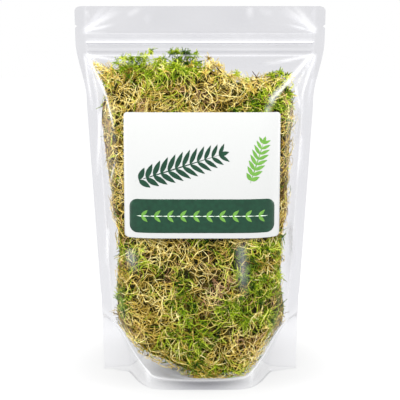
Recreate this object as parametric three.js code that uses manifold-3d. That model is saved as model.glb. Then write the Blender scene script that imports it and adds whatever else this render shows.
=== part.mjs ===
// A clear stand-up pouch packed with live sphagnum moss.
// Millimetres, +Z up. The front of the pouch faces -Y, and the origin is the centre of its base on the table.
// The film pieces are thin shells round one shared wall shape. The moss is a stack of tufts, straw and green,
// each a smaller core with strands or leafy heads standing out of it, and every tuft keeps to its own cell.
import * as THREE from "three";
import { mergeVertices } from "three/addons/utils/BufferGeometryUtils.js";
import Module from "manifold-3d";

const wasm = await Module();
wasm.setup();
const { smoothstep, lerp, clamp, degToRad } = THREE.MathUtils;
const X_AXIS = new THREE.Vector3(1, 0, 0);
const Y_AXIS = new THREE.Vector3(0, 1, 0);
const Z_AXIS = new THREE.Vector3(0, 0, 1);

// ---- Driving dimensions ----
const POUCH = {
  height: 356,
  flatHalfWidth: 115, // of the empty film, as at the zip
  shoulderHalfWidth: 106, // where the filled body starts
  shoulderHeight: 264,
  baseHalfWidth: 97, // drawn in by the open gusset
  sealTop: 66, // the corner seals end below this, and the sides are upright as far
  baseHalfDepth: 47,
  sideSeal: 10,
  closeHeight: 320, // the two panels meet here, just under the zip
  cornerRadius: 5,
  cornerLift: 3, // the bottom corners stand clear of the table
  film: 0.6,
  gap: 0.3, // between faces that touch
  looseGap: 0.45, // between faces that touch and are curved
};
const NOTCH = { height: 338, depth: 2.4, halfHeight: 1.6 };
const ZIP = {
  height: 326,
  halfHeight: 5.5,
  halfLength: 98,
  base: 0.5,
  rib: 1, // how far the ribs stand out
  malePlaces: [[-0.6, 0.6]],
  femalePlaces: [
    [-2.3, -1.1],
    [1.1, 2.3],
  ],
  halfGap: 1.75, // half the space between the panels there
  room: 6,
  fade: 3.5,
  endRoom: 5.5,
};
// The belly of each panel: flat across the middle, and S-shaped at its sides near the base, where it stops
// short of the slanted corner seals.
const BELLY = {
  fullBelow: 20,
  taper: 1.6,
  wedge: 0.65,
  baseReach: 74,
  baseFlat: 8,
  bodyFlat: 6,
  baseSides: 3,
  bodySides: 1,
  bodyFrom: 110,
};
const GUSSET = { sealHeight: 7.5, flatHalf: 45, slope: 0.95, spotHalf: 20 };
const LABEL = { centre: 1.9, low: 147, high: 261, halfWidth: 72, corner: 3, inner: 0.64, thickness: 0.5 };

// ---- The wall shape: half the depth of the pouch at a place x, z ----
function halfWidth(z) {
  const { baseHalfWidth, sealTop, shoulderHalfWidth, shoulderHeight, flatHalfWidth } = POUCH;
  const rise = clamp((z - sealTop) / (shoulderHeight - sealTop), 0, 1);
  const body = lerp(baseHalfWidth, shoulderHalfWidth, rise);
  return lerp(body, flatHalfWidth, smoothstep(z, shoulderHeight + 6, ZIP.height));
}

const innerHalfWidth = (z) => halfWidth(z) - POUCH.sideSeal;

// How far each panel bellies out at its middle: full near the base, a wedge towards the zip.
function halfDepth(z) {
  const rise = clamp((z - BELLY.fullBelow) / (POUCH.closeHeight - BELLY.fullBelow), 0, 1);
  return POUCH.baseHalfDepth * (1 - rise ** BELLY.taper) ** BELLY.wedge;
}

const bellyReach = (z) => lerp(BELLY.baseReach, innerHalfWidth(z), smoothstep(z, 0, POUCH.sealTop));

function belly(x, z) {
  const across = Math.min(1, Math.abs(x) / bellyReach(z));
  const up = smoothstep(z, 0, BELLY.bodyFrom);
  const flat = lerp(BELLY.baseFlat, BELLY.bodyFlat, up);
  const sides = lerp(BELLY.baseSides, BELLY.bodySides, up);
  return halfDepth(z) * (1 - across ** flat) ** sides;
}

// Half the space left between the panels where they are sealed or hold the zip.
function halfGap(x, z) {
  const seam = POUCH.gap / 2;
  const gussetLayer = (POUCH.film + POUCH.looseGap) * (1 - smoothstep(z, POUCH.sealTop, POUCH.sealTop + 12));
  const { height, room, fade, halfLength, endRoom } = ZIP;
  const above = smoothstep(z, height - room - fade, height - room);
  const below = 1 - smoothstep(z, height + room, height + room + fade);
  const acrossZip = 1 - smoothstep(Math.abs(x), halfLength + endRoom, halfLength + endRoom + fade);
  return seam + gussetLayer + (ZIP.halfGap - seam) * above * below * acrossZip;
}

const wall = (x, z) => halfGap(x, z) + belly(x, z);

// A point at a distance outside a panel's inner face, square to it in plan. side is -1 in front and 1 behind.
function wallPoint(side, x, z, outside) {
  const step = 0.05;
  const slope = (wall(x + step, z) - wall(x - step, z)) / (2 * step);
  const k = outside / Math.hypot(1, slope);
  return new THREE.Vector3(x - slope * k, side * (wall(x, z) + k), z);
}

const bottomEdge = (x) => POUCH.cornerLift * smoothstep(Math.abs(x), 62, 92);

// The line where the gusset leaves the panels: low across the middle, then up the slanted corner seals.
const sealLine = (x) => GUSSET.sealHeight + GUSSET.slope * Math.max(0, Math.abs(x) - GUSSET.flatHalf);

// ---- Mesh helpers ----
// A closed shell from two grids of points, its outer and its inner face.
function shell(outer, inner) {
  const rows = outer.length;
  const cols = outer[0].length;
  const points = [...outer.flat(), ...inner.flat()];
  const faces = [];
  const at = (face, i, j) => face * rows * cols + i * cols + j;
  const quad = (a, b, c, d) => faces.push(a, b, c, a, c, d);
  for (let i = 0; i + 1 < rows; i++)
    for (let j = 0; j + 1 < cols; j++) {
      quad(at(0, i, j), at(0, i, j + 1), at(0, i + 1, j + 1), at(0, i + 1, j));
      quad(at(1, i, j), at(1, i + 1, j), at(1, i + 1, j + 1), at(1, i, j + 1));
    }
  for (let j = 0; j + 1 < cols; j++) {
    quad(at(1, 0, j), at(1, 0, j + 1), at(0, 0, j + 1), at(0, 0, j));
    quad(at(0, rows - 1, j), at(0, rows - 1, j + 1), at(1, rows - 1, j + 1), at(1, rows - 1, j));
  }
  for (let i = 0; i + 1 < rows; i++) {
    quad(at(0, i, 0), at(0, i + 1, 0), at(1, i + 1, 0), at(1, i, 0));
    quad(at(1, i, cols - 1), at(1, i + 1, cols - 1), at(0, i + 1, cols - 1), at(0, i, cols - 1));
  }
  const geometry = new THREE.BufferGeometry().setFromPoints(points).setIndex(faces);
  return signedVolume(geometry) < 0 ? turned(geometry) : geometry;
}

function signedVolume(geometry) {
  const p = geometry.getAttribute("position");
  const index = geometry.getIndex();
  const [a, b, c] = [0, 1, 2].map(() => new THREE.Vector3());
  let sum = 0;
  for (let i = 0; i < index.count; i += 3) {
    a.fromBufferAttribute(p, index.getX(i));
    b.fromBufferAttribute(p, index.getX(i + 1));
    c.fromBufferAttribute(p, index.getX(i + 2));
    sum += a.dot(b.cross(c)) / 6;
  }
  return sum;
}

function turned(geometry) {
  const index = geometry.getIndex().array;
  for (let i = 0; i < index.length; i += 3) [index[i + 1], index[i + 2]] = [index[i + 2], index[i + 1]];
  return geometry;
}

function bareOf(geometry) {
  const bare = geometry.clone();
  bare.deleteAttribute("normal");
  bare.deleteAttribute("uv");
  return bare;
}

function toSolid(geometry) {
  const merged = mergeVertices(bareOf(geometry), 1e-4);
  return new wasm.Manifold(
    new wasm.Mesh({
      numProp: 3,
      vertProperties: new Float32Array(merged.getAttribute("position").array),
      triVerts: new Uint32Array(merged.getIndex().array),
    }),
  );
}

// The largest closed body of a solid, so that no loose scrap stays.
function toGeometry(solid) {
  const body = solid.decompose().sort((a, b) => b.volume() - a.volume())[0];
  const mesh = body.getMesh();
  return new THREE.BufferGeometry()
    .setAttribute("position", new THREE.BufferAttribute(mesh.vertProperties, 3))
    .setIndex(new THREE.BufferAttribute(mesh.triVerts, 1));
}

// A repeatable random draw.
function randomFrom(seed) {
  let state = seed;
  const draw = () => {
    state = (Math.imul(state, 1664525) + 1013904223) >>> 0;
    return state / 2 ** 32;
  };
  return (low, high) => lerp(low, high, draw());
}

// ---- Film ----
// Columns as shares of the half width, closer where the panel turns in to its side seal.
const COLUMNS = [0, 0.15, 0.4, 0.55, 0.62, 0.73, 0.82, 0.9, 1]
  .flatMap((u) => (u ? [-u, u] : [u]))
  .sort((a, b) => a - b);
const SEALED_ROWS = [0, 0.55, 1]; // shares of the way from the bottom edge up to the gusset's seal line
const CORNER_ROWS = [0.5, 1]; // and from there up to where the corner seals have ended
// The rows of the body and of the strip that holds the zip.
const BODY_ROWS = [100, 144, 190, 230, 262, 292, ZIP.height - ZIP.room, ZIP.height + ZIP.room];

// The heights of a panel's points at a place across it.
function panelHeights(x) {
  const { height, cornerRadius, sealTop } = POUCH;
  const seal = sealLine(x);
  const sealed = SEALED_ROWS.map((t) => lerp(bottomEdge(x), seal, t));
  const corners = CORNER_ROWS.map((t) => lerp(seal, sealTop, t));
  const notch = [-1, 0, 1].map((k) => NOTCH.height + k * NOTCH.halfHeight);
  const rounding = [0, 50, 90].map((a) => height - cornerRadius * (1 - Math.sin(degToRad(a))));
  return [...sealed, ...corners, ...BODY_ROWS, ...notch, ...rounding];
}

// The outline's half width, with the tear notches and the rounded top corners.
function outline(z) {
  const { height, cornerRadius } = POUCH;
  const nick = NOTCH.depth * Math.max(0, 1 - Math.abs(z - NOTCH.height) / NOTCH.halfHeight);
  const above = Math.max(0, z - (height - cornerRadius));
  return halfWidth(z) - nick - (cornerRadius - Math.sqrt(cornerRadius ** 2 - above ** 2));
}

// The rows run upwards in front and downwards behind, as they do along the gusset, so that facets pair up.
function panelFace(side, outside) {
  return COLUMNS.map((u) => {
    const heights = panelHeights(u * POUCH.baseHalfWidth);
    if (side > 0) heights.reverse();
    return heights.map((z) => wallPoint(side, u * outline(z), z, outside));
  });
}

const panel = (side) => shell(panelFace(side, POUCH.film), panelFace(side, 0));

// The bottom gusset: a flap sealed inside each panel, and a web between them that sags to the table.
function gusset() {
  const reach = POUCH.baseHalfWidth - 0.8;
  const webSteps = [-1, -0.8, -0.5, -0.2, 0.2, 0.5, 0.8, 1]; // shares of the way from the middle to the flaps
  const section = (x, layer) => {
    const top = sealLine(x);
    const inset = -POUCH.looseGap - layer * POUCH.film;
    const flap = (side) =>
      SEALED_ROWS.slice(0, -1).map((t) => wallPoint(side, x, lerp(bottomEdge(x), top, t), inset));
    const edge = wallPoint(1, x, top, inset);
    const web = webSteps.map((t) => {
      const off = Math.hypot(x, t * edge.y);
      const sag = (top - POUCH.film) * (1 - smoothstep(off, GUSSET.spotHalf, 2 * GUSSET.spotHalf));
      return new THREE.Vector3(edge.x, t * edge.y, top - sag - layer * POUCH.film);
    });
    return [...flap(-1), ...web, ...flap(1).reverse()];
  };
  const across = COLUMNS.map((u) => clamp(u * POUCH.baseHalfWidth, -reach, reach));
  return shell(
    across.map((x) => section(x, 0)),
    across.map((x) => section(x, 1)),
  );
}

// A zip track: a flat base strip with ribs, as a profile in Y and Z run along X.
function zipTrack(side, ribs) {
  const { base, rib, halfGap: reach, halfHeight, halfLength } = ZIP;
  const back = reach - POUCH.gap;
  const ribCorners = ribs.flatMap(([low, high]) => [
    [back - base, low],
    [back - base - rib, low],
    [back - base - rib, high],
    [back - base, high],
  ]);
  const foot = [
    [back, -halfHeight],
    [back - base, -halfHeight],
  ];
  const head = [
    [back - base, halfHeight],
    [back, halfHeight],
  ];
  const corners = [...foot, ...ribCorners, ...head].map(([y, z]) => new THREE.Vector2(side * y, z));
  const profile = new THREE.Shape(corners);
  const track = new THREE.ExtrudeGeometry(profile, { depth: 2 * halfLength, bevelEnabled: false });
  track.applyMatrix4(new THREE.Matrix4().makeBasis(Y_AXIS, Z_AXIS, X_AXIS));
  return track.translate(-halfLength, 0, ZIP.height);
}

// The label lies on the front panel and follows it, with rounded corners.
function label() {
  const { low, high, corner, halfWidth: half, centre, thickness } = LABEL;
  const ends = [90, 45, 0].map((a) => corner * (1 - Math.sin(degToRad(a))));
  const middle = BODY_ROWS.filter((z) => z > low + corner && z < high - corner);
  const rows = [...ends.map((e) => low + e), ...middle, ...ends.map((e) => high - e).reverse()];
  const inner = COLUMNS.filter((u) => Math.abs(u) < LABEL.inner);
  const face = (outside) =>
    rows.map((z) => {
      const cut = Math.max(0, low + corner - z, z - (high - corner));
      const reach = half - (corner - Math.sqrt(corner ** 2 - cut ** 2));
      const across = [centre - reach, ...inner.map((u) => u * halfWidth(z)), centre + reach];
      return across.map((x) => wallPoint(-1, x, z, POUCH.film + outside));
    });
  return shell(face(POUCH.looseGap + thickness), face(POUCH.looseGap));
}

// ---- Moss ----
// Tufts: what they are, and where their middles lie. Each keeps to the space nearest its own middle.
const TUFTS = [
  { name: "straw_left_shoulder", kind: "straw", middle: [-62, 10, 240] },
  { name: "green_crown", kind: "green", middle: [-18, -9, 258] },
  { name: "straw_crown", kind: "straw", middle: [34, 8, 252] },
  { name: "green_right_shoulder", kind: "green", middle: [70, -9, 216] },
  { name: "straw_left", kind: "straw", middle: [-46, -11, 168] },
  { name: "green_heart", kind: "green", middle: [20, 11, 182] },
  { name: "green_left", kind: "green", middle: [-58, 10, 94] },
  { name: "straw_middle", kind: "straw", middle: [-2, -13, 108] },
  { name: "straw_right", kind: "straw", middle: [56, 4, 124] },
  { name: "straw_bottom", kind: "straw", middle: [-32, -4, 38] },
  { name: "green_bottom", kind: "green", middle: [34, 9, 46] },
];
const PILE_TOP = [
  [-92, 256],
  [-74, 282],
  [-44, 297],
  [2, 298],
  [24, 288],
  [60, 283],
  [82, 276],
  [93, 248],
];
const PILE = { side: 10, wall: 13, bump: 2.5, least: 2, bottom: 5, columns: 9, rows: 13, split: 0.7 };
const STRAND = {
  every: 13.3, // spacing over the pile
  radius: 1.8,
  length: [28, 42],
  rise: [10, 14], // how far out it bends over
  bendAt: 0.3,
  fall: [2, 6], // how far out its tip ends
  sunk: 3,
  steps: 2,
};
const HEAD = { every: 22.5, radius: 1.6, length: [13, 20], leaves: 6, sunk: 3, lean: [38, 68] };
const FIRST_SEED = 211;
// How near the sides of its cell the middle line of a blade may come.
const KEEP_IN = { wall: 2.4, gusset: 3.4, plane: 2.2, top: -20, shortest: 6 };

function pileTop(x) {
  const k = clamp(PILE_TOP.filter(([at]) => at < x).length, 1, PILE_TOP.length - 1);
  const [[x0, z0], [x1, z1]] = [PILE_TOP[k - 1], PILE_TOP[k]];
  return lerp(z0, z1, clamp((x - x0) / (x1 - x0), 0, 1));
}

// A point of the surface of the pile's core, which keeps an uneven margin inside the pouch.
function pilePoint(side, across, up) {
  const u = 2 * across - 1;
  const low = sealLine(u * innerHalfWidth(0)) + PILE.bottom;
  const z = lerp(low, pileTop(u * POUCH.baseHalfWidth), up);
  const x = u * (bellyReach(z) - PILE.side);
  const bump = PILE.bump * Math.sin(x / 10 + 1.7 * Math.sin(z / 19)) * Math.cos(z / 12 + side);
  return new THREE.Vector3(x, side * Math.max(PILE.least, wall(x, z) - PILE.wall - bump), z);
}

function pile() {
  const face = (side) =>
    evenSteps(PILE.columns).map((across) => evenSteps(PILE.rows).map((up) => pilePoint(side, across, up)));
  return toSolid(shell(face(-1), face(1)));
}

const evenSteps = (count) => Array.from({ length: count + 1 }, (_, i) => i / count);

// The planes half way to the other tufts, each as a point and the direction back to this one.
function planesOf(tuft) {
  const own = new THREE.Vector3(...tuft.middle);
  return TUFTS.filter((other) => other !== tuft).map((other) => {
    const theirs = new THREE.Vector3(...other.middle);
    return { point: own.clone().lerp(theirs, 0.5), inward: own.clone().sub(theirs).normalize() };
  });
}

// A tuft's core: the part of the pile on its own side of all its planes.
function coreOf(tuft, whole) {
  const size = 800;
  return planesOf(tuft).reduce((left, { point, inward }) => {
    const block = new THREE.BoxGeometry(size, size, size).translate(0, 0, size / 2 + PILE.split);
    block.applyQuaternion(new THREE.Quaternion().setFromUnitVectors(Z_AXIS, inward));
    return left.intersect(toSolid(block.translate(point.x, point.y, point.z)));
  }, whole);
}

const roomToPlanes = (p, planes) =>
  Math.min(...planes.map(({ point, inward }) => p.clone().sub(point).dot(inward)));

// How far inside its cell a point is: its distance from the nearest of its sides, less the inset.
function roomAt(p, planes, inset) {
  const step = 0.5;
  const slope = (wall(p.x + step, p.z) - wall(p.x - step, p.z)) / (2 * step);
  const toFilm = (wall(p.x, p.z) - Math.abs(p.y)) / Math.hypot(1, slope);
  const toSeal = innerHalfWidth(p.z) - Math.abs(p.x);
  const toGusset = (p.z - sealLine(p.x)) / Math.hypot(1, GUSSET.slope);
  const toOthers = roomToPlanes(p, planes) - inset.plane;
  const toTop = pileTop(p.x) - p.z - inset.top;
  return Math.min(toFilm - inset.wall, toSeal - inset.wall, toGusset - inset.gusset, toTop, toOthers);
}

// The last point inside a cell on the way from one point to another.
function lastInside(from, to, planes, inset) {
  if (roomAt(to, planes, inset) > 0) return to.clone();
  let [near, far] = [0, 1];
  for (let i = 0; i < 12; i++) {
    const half = (near + far) / 2;
    if (roomAt(from.clone().lerp(to, half), planes, inset) > 0) near = half;
    else far = half;
  }
  return from.clone().lerp(to, near);
}

// Places spread evenly over the pile, each with the direction out of it.
function placesOn(spacing, random) {
  const step = 0.01;
  const width = 2 * (bellyReach(pileTop(0) / 2) - PILE.side);
  const [columns, rows] = [width, pileTop(0)].map((size) => Math.round(size / spacing));
  const jitter = () => random(0.15, 0.85);
  return [-1, 1].flatMap((side) =>
    Array.from({ length: columns * rows }, (_, k) => {
      const across = ((k % columns) + jitter()) / columns;
      const up = (Math.floor(k / columns) + jitter()) / rows;
      const place = pilePoint(side, across, up);
      const rightwards = pilePoint(side, across + step, up).sub(place);
      const upwards = pilePoint(side, across, up + step).sub(place);
      const out = rightwards.cross(upwards).multiplyScalar(-side).normalize();
      out.x += Math.sign(across - 0.5) * smoothstep(Math.abs(2 * across - 1), 0.75, 1);
      out.z += 2 * smoothstep(up, 0.9, 1);
      return { place, out: out.normalize() };
    }),
  );
}

// A pointed three-sided blade from a foot by way of a bend to a tip, or none where there is no room for it.
function blade(foot, bend, tip, radius, steps) {
  if (foot.distanceTo(tip) < KEEP_IN.shortest) return [];
  const curve = new THREE.QuadraticBezierCurve3(foot, bend, tip);
  const cone = new THREE.ConeGeometry(radius, 1, 3, steps).translate(0, 0.5, 0);
  const p = cone.getAttribute("position");
  const start = curve.getTangent(0);
  const aside = new THREE.Vector3(start.y, start.z, start.x).cross(start).normalize();
  for (let i = 0; i < p.count; i++) {
    const t = clamp(p.getY(i), 0, 1);
    const along = curve.getTangent(t);
    const across = aside.clone().addScaledVector(along, -aside.dot(along)).normalize();
    const over = along.clone().cross(across);
    const at = curve.getPoint(t).addScaledVector(across, p.getX(i)).addScaledVector(over, p.getZ(i));
    p.setXYZ(i, at.x, at.y, at.z);
  }
  return [toSolid(signedVolume(cone) < 0 ? turned(cone) : cone)];
}

// A straw strand: it rises out of the core, bends over and runs on along the film.
function strand({ out, place }, planes, random) {
  const any = new THREE.Vector3(random(-1, 1), random(-1, 1), random(-1, 1));
  const along = any.cross(out).normalize();
  const length = random(...STRAND.length);
  const foot = lastInside(place, place.clone().addScaledVector(out, -STRAND.sunk), planes, KEEP_IN);
  const bend = place.clone().addScaledVector(along, STRAND.bendAt * length);
  bend.addScaledVector(out, random(...STRAND.rise));
  const tip = place.clone().addScaledVector(along, length).addScaledVector(out, random(...STRAND.fall));
  const kept = [bend, tip].map((to) => lastInside(place, to, planes, KEEP_IN));
  return blade(foot, ...kept, STRAND.radius, STRAND.steps);
}

// A leafy head: blades that fan out from one place.
function head({ out, place }, planes, random) {
  const foot = lastInside(place, place.clone().addScaledVector(out, -HEAD.sunk), planes, KEEP_IN);
  const upright = new THREE.Quaternion().setFromUnitVectors(Y_AXIS, out);
  const turn = random(0, 360);
  return evenSteps(HEAD.leaves - 1).flatMap((share, k) => {
    const lean = degToRad(k === 0 ? 0 : random(...HEAD.lean));
    const round = degToRad(turn + 360 * share);
    const direction = new THREE.Vector3().setFromSphericalCoords(1, lean, round).applyQuaternion(upright);
    const to = foot.clone().addScaledVector(direction, HEAD.sunk + random(...HEAD.length));
    const tip = lastInside(foot, to, planes, KEEP_IN);
    return blade(foot, foot.clone().lerp(tip, 0.5), tip, HEAD.radius, 1);
  });
}

function mossTuft(tuft, whole, seed) {
  const random = randomFrom(seed);
  const planes = planesOf(tuft);
  const [every, grow] = tuft.kind === "green" ? [HEAD.every, head] : [STRAND.every, strand];
  const places = placesOn(every, random).filter((at) => roomToPlanes(at.place, planes) > KEEP_IN.plane);
  const repeats = places.flatMap((at) => grow(at, planes, random));
  return toGeometry(wasm.Manifold.union([coreOf(tuft, whole), ...repeats]));
}

// ---- Materials ----
const MATERIALS = {
  film: new THREE.MeshStandardMaterial({ color: 0xe9eaee, roughness: 0.1, transparent: true, opacity: 0.25 }),
  zip: new THREE.MeshStandardMaterial({ color: 0xf1f2f5, roughness: 0.2, transparent: true, opacity: 0.5 }),
  label: new THREE.MeshStandardMaterial({ color: 0xf7f8f6, roughness: 0.45 }),
  straw: new THREE.MeshStandardMaterial({ color: 0xc2a557, roughness: 0.85 }),
  green: new THREE.MeshStandardMaterial({ color: 0x6e9a2b, roughness: 0.8 }),
};

// ---- The object ----
const pouchOfMoss = new THREE.Group();
const wholePile = pile();

function place(name, geometry, material) {
  const mesh = new THREE.Mesh(geometry, material);
  mesh.name = name;
  pouchOfMoss.add(mesh);
}

place("pouch_front_panel", panel(-1), MATERIALS.film);
place("pouch_back_panel", panel(1), MATERIALS.film);
place("pouch_bottom_gusset", gusset(), MATERIALS.film);
place("zip_track_single_rib", zipTrack(-1, ZIP.malePlaces), MATERIALS.zip);
place("zip_track_double_rib", zipTrack(1, ZIP.femalePlaces), MATERIALS.zip);
place("front_label", label(), MATERIALS.label);
TUFTS.forEach((tuft, k) => {
  place(`moss_${tuft.name}`, mossTuft(tuft, wholePile, FIRST_SEED + k), MATERIALS[tuft.kind]);
});

export default pouchOfMoss;
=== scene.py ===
import math
import bpy
import numpy as np
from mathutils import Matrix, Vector


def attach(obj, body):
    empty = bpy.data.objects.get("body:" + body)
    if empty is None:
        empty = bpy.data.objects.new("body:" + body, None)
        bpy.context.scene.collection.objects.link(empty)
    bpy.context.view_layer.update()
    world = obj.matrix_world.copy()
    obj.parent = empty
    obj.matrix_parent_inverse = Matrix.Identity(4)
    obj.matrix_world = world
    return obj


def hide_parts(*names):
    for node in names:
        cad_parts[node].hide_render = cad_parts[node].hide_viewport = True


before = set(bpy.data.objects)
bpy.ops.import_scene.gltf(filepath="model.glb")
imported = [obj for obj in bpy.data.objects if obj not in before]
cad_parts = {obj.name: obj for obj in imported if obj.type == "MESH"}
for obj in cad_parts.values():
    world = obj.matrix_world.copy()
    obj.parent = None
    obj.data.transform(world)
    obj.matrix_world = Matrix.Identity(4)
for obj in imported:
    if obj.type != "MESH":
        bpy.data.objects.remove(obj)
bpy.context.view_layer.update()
scene = bpy.context.scene
mm = 0.001


# small helpers
def smoothStep(value, low, high):
    t = np.clip((value - low) / (high - low), 0, 1)
    return t * t * (3 - 2 * t)


def fadeOut(value, low, high):
    return 1 - smoothStep(value, low, high)


def band(value, low, full, hold, end):  # 0 up to low, 1 from full to hold, and 0 again from end
    return smoothStep(value, low, full) * fadeOut(value, hold, end)


def bell(value, middle, reach):
    return np.exp(-(((value - middle) / reach) ** 2))


def lerp(a, b, t):
    return a + (b - a) * t


def unit(v):
    return v / np.maximum(np.linalg.norm(v, axis=-1, keepdims=True), 1e-9)


def columns(table):
    return (np.array(v, float) for v in zip(*table))


def linear(r, g, b):  # 0 to 255 as a screen shows it, to scene colour
    return tuple((c / 255 / 12.92) if c <= 10 else ((c / 255 + 0.055) / 1.055) ** 2.4 for c in (r, g, b))


# the pouch's own shape, in millimetres, front at -y
pouch = {
    "height": 356, "flatHalf": 115, "shoulderHalf": 106, "shoulderHeight": 264, "baseHalf": 97,
    "sealTop": 66, "baseDepth": 47, "baseReach": 74, "sideSeal": 10, "closeHeight": 320, "film": 0.16,
    "cornerRadius": 5, "cornerLift": 1.2, "notchHeight": 338, "notchDepth": 2.2, "notchHalf": 1.6,
    "gap": 0.15, "flapLayer": 0.5, "zipHeight": 326, "zipDepth": 1.3, "zipRoom": (316, 320, 332, 336),
    "gussetSeal": 9.4, "gussetBow": 3.2, "gussetFlat": 45, "gussetSlope": 0.95, "gussetSpot": 16,
    "footSplay": 6, "splayHeight": 26,
}


def halfWidth(z):
    rise = np.clip((z - pouch["sealTop"]) / (pouch["shoulderHeight"] - pouch["sealTop"]), 0, 1)
    body = lerp(pouch["baseHalf"], pouch["shoulderHalf"], rise)
    return lerp(body, pouch["flatHalf"], smoothStep(z, pouch["shoulderHeight"] + 6, pouch["zipHeight"]))


def innerHalf(z):
    return halfWidth(z) - pouch["sideSeal"]


def belly(x, z):
    rise = np.clip((z - 20) / (pouch["closeHeight"] - 20), 0, 1)
    depth = pouch["baseDepth"] * (1 - rise ** 1.6) ** 0.65
    reach = lerp(pouch["baseReach"], innerHalf(z), smoothStep(z, 0, pouch["sealTop"]))
    across = np.minimum(1, np.abs(x) / reach)
    up = smoothStep(z, 0, 110)
    return depth * (1 - across ** lerp(8, 6, up)) ** lerp(3, 1, up)


def wallDepth(x, z):  # half the depth of the pouch at a place, to the inner face of the film
    across = np.abs(x)
    layers = pouch["flapLayer"] * fadeOut(z, pouch["sealTop"], pouch["sealTop"] + 12)
    zipRoom = pouch["zipDepth"] * band(z, *pouch["zipRoom"]) * fadeOut(across, 97, 107)
    splay = pouch["footSplay"] * smoothStep(across, 50, 70) * (1 - 0.85 * smoothStep(across, 68, 97))
    return pouch["gap"] + layers + zipRoom + splay * fadeOut(z, 0, pouch["splayHeight"]) + belly(x, z)


def roomInside(x, z, gap, least):  # half the depth that is free inside the film
    return np.maximum(wallDepth(x, z) - gap, least)


def bottomEdge(x):
    return pouch["cornerLift"] * smoothStep(np.abs(x), 62, 92)


def sealLine(x):
    bow = pouch["gussetBow"] * np.minimum(1, np.abs(x) / pouch["gussetFlat"]) ** 2
    return pouch["gussetSeal"] + bow + pouch["gussetSlope"] * np.maximum(0, np.abs(x) - pouch["gussetFlat"])


def outlineHalf(z):
    nick = pouch["notchDepth"] * np.maximum(0, 1 - np.abs(z - pouch["notchHeight"]) / pouch["notchHalf"])
    above = np.maximum(0, z - (pouch["height"] - pouch["cornerRadius"]))
    rounding = pouch["cornerRadius"] - np.sqrt(np.maximum(0, pouch["cornerRadius"] ** 2 - above ** 2))
    return halfWidth(z) - nick - rounding


# meshes from arrays
def makeMesh(name, verts, tris, materials, faceMaterial=None, smooth=False, attributes=None):
    mesh = bpy.data.meshes.new(name)
    mesh.vertices.add(len(verts))
    mesh.vertices.foreach_set("co", (np.asarray(verts, np.float32) * mm).ravel())
    mesh.loops.add(len(tris) * 3)
    mesh.loops.foreach_set("vertex_index", np.asarray(tris, np.int32).ravel())
    mesh.polygons.add(len(tris))
    mesh.polygons.foreach_set("loop_start", np.arange(0, len(tris) * 3, 3, dtype=np.int32))
    if faceMaterial is not None:
        mesh.polygons.foreach_set("material_index", np.asarray(faceMaterial, np.int32))
    mesh.polygons.foreach_set("use_smooth", np.full(len(tris), smooth))
    for key, values in (attributes or {}).items():
        mesh.attributes.new(key, "FLOAT", "POINT").data.foreach_set("value", np.asarray(values, np.float32))
    for material in materials:
        mesh.materials.append(material)
    mesh.update(calc_edges=True)
    mesh.validate()
    piece = bpy.data.objects.new(name, mesh)
    scene.collection.objects.link(piece)
    return piece


def gridShell(name, outer, inner, materials, attributes=None):  # a closed sheet between two grids of points
    rows, cols = outer.shape[:2]
    n = rows * cols
    index = np.arange(n).reshape(rows, cols)

    def split(a, b, c, d):
        return np.concatenate([np.stack(corners, -1).reshape(-1, 3) for corners in ([a, b, c], [a, c, d])])

    a, b, c, d = index[:-1, :-1], index[:-1, 1:], index[1:, 1:], index[1:, :-1]
    rim = np.concatenate([index[0, :], index[1:, -1], index[-1, -2::-1], index[-2:0:-1, 0]])
    after = np.roll(rim, -1)
    edge = split(rim + n, after + n, after, rim)
    tris = np.concatenate([split(a, b, c, d), split(a + n, d + n, c + n, b + n), edge])
    verts = np.concatenate([outer.reshape(-1, 3), inner.reshape(-1, 3)])
    p = verts[tris]
    if np.einsum("ij,ij->i", p[:, 0], np.cross(p[:, 1], p[:, 2])).sum() < 0:
        tris = tris[:, ::-1]
    doubled = {key: np.concatenate([v.ravel(), v.ravel()]) for key, v in (attributes or {}).items()}
    return makeMesh(name, verts, tris, materials, smooth=True, attributes=doubled)


def gridNormals(grid):
    return unit(np.cross(np.gradient(grid, axis=1), np.gradient(grid, axis=0)))


def fitPiece(piece, slot, *nodes):  # hides the CAD nodes that the piece stands for, if any, and hangs it on the root body; slot is not used
    if nodes:
        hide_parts(*nodes)
    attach(piece, "root")


# materials
def newMaterial(name):
    material = bpy.data.materials.new(name)
    material.use_nodes = True
    return material, material.node_tree, material.node_tree.nodes["Principled BSDF"]


def feed(tree, node, inputs):  # each input gets a value, or is linked to another node's output
    for key, value in inputs.items():
        if isinstance(value, bpy.types.NodeSocket):
            tree.links.new(value, node.inputs[key])
        else:
            node.inputs[key].default_value = value
    return node


def addNode(tree, kind, inputs):
    return feed(tree, tree.nodes.new(kind), inputs)


def mathOf(tree, operation, *values, kind="ShaderNodeMath"):
    node = tree.nodes.new(kind)
    node.operation = operation
    return feed(tree, node, dict(enumerate(values)))


def mixOf(tree, factor, a, b, kind="RGBA", blend="MIX"):
    node = tree.nodes.new("ShaderNodeMix")
    node.data_type, node.blend_type = kind, blend
    return feed(tree, node, {"Factor": factor, "A": a, "B": b}).outputs["Result"]


def groupOf(tree, group, inputs):
    node = tree.nodes.new("ShaderNodeGroup")
    node.node_tree = group
    return feed(tree, node, inputs)


def attributeOf(tree, name):
    node = tree.nodes.new("ShaderNodeAttribute")
    node.attribute_name = name
    return node.outputs["Fac"]


def noiseOf(tree, scale, detail=2):  # noise that keeps its place on the object
    place = tree.nodes.new("ShaderNodeTexCoord").outputs["Object"]
    made = addNode(tree, "ShaderNodeTexNoise", {"Vector": place, "Scale": scale, "Detail": detail})
    return made.outputs["Fac"]


def bumpOf(tree, height, strength, distance):
    made = addNode(tree, "ShaderNodeBump", {"Height": height, "Strength": strength, "Distance": distance})
    return made.outputs["Normal"]


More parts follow.
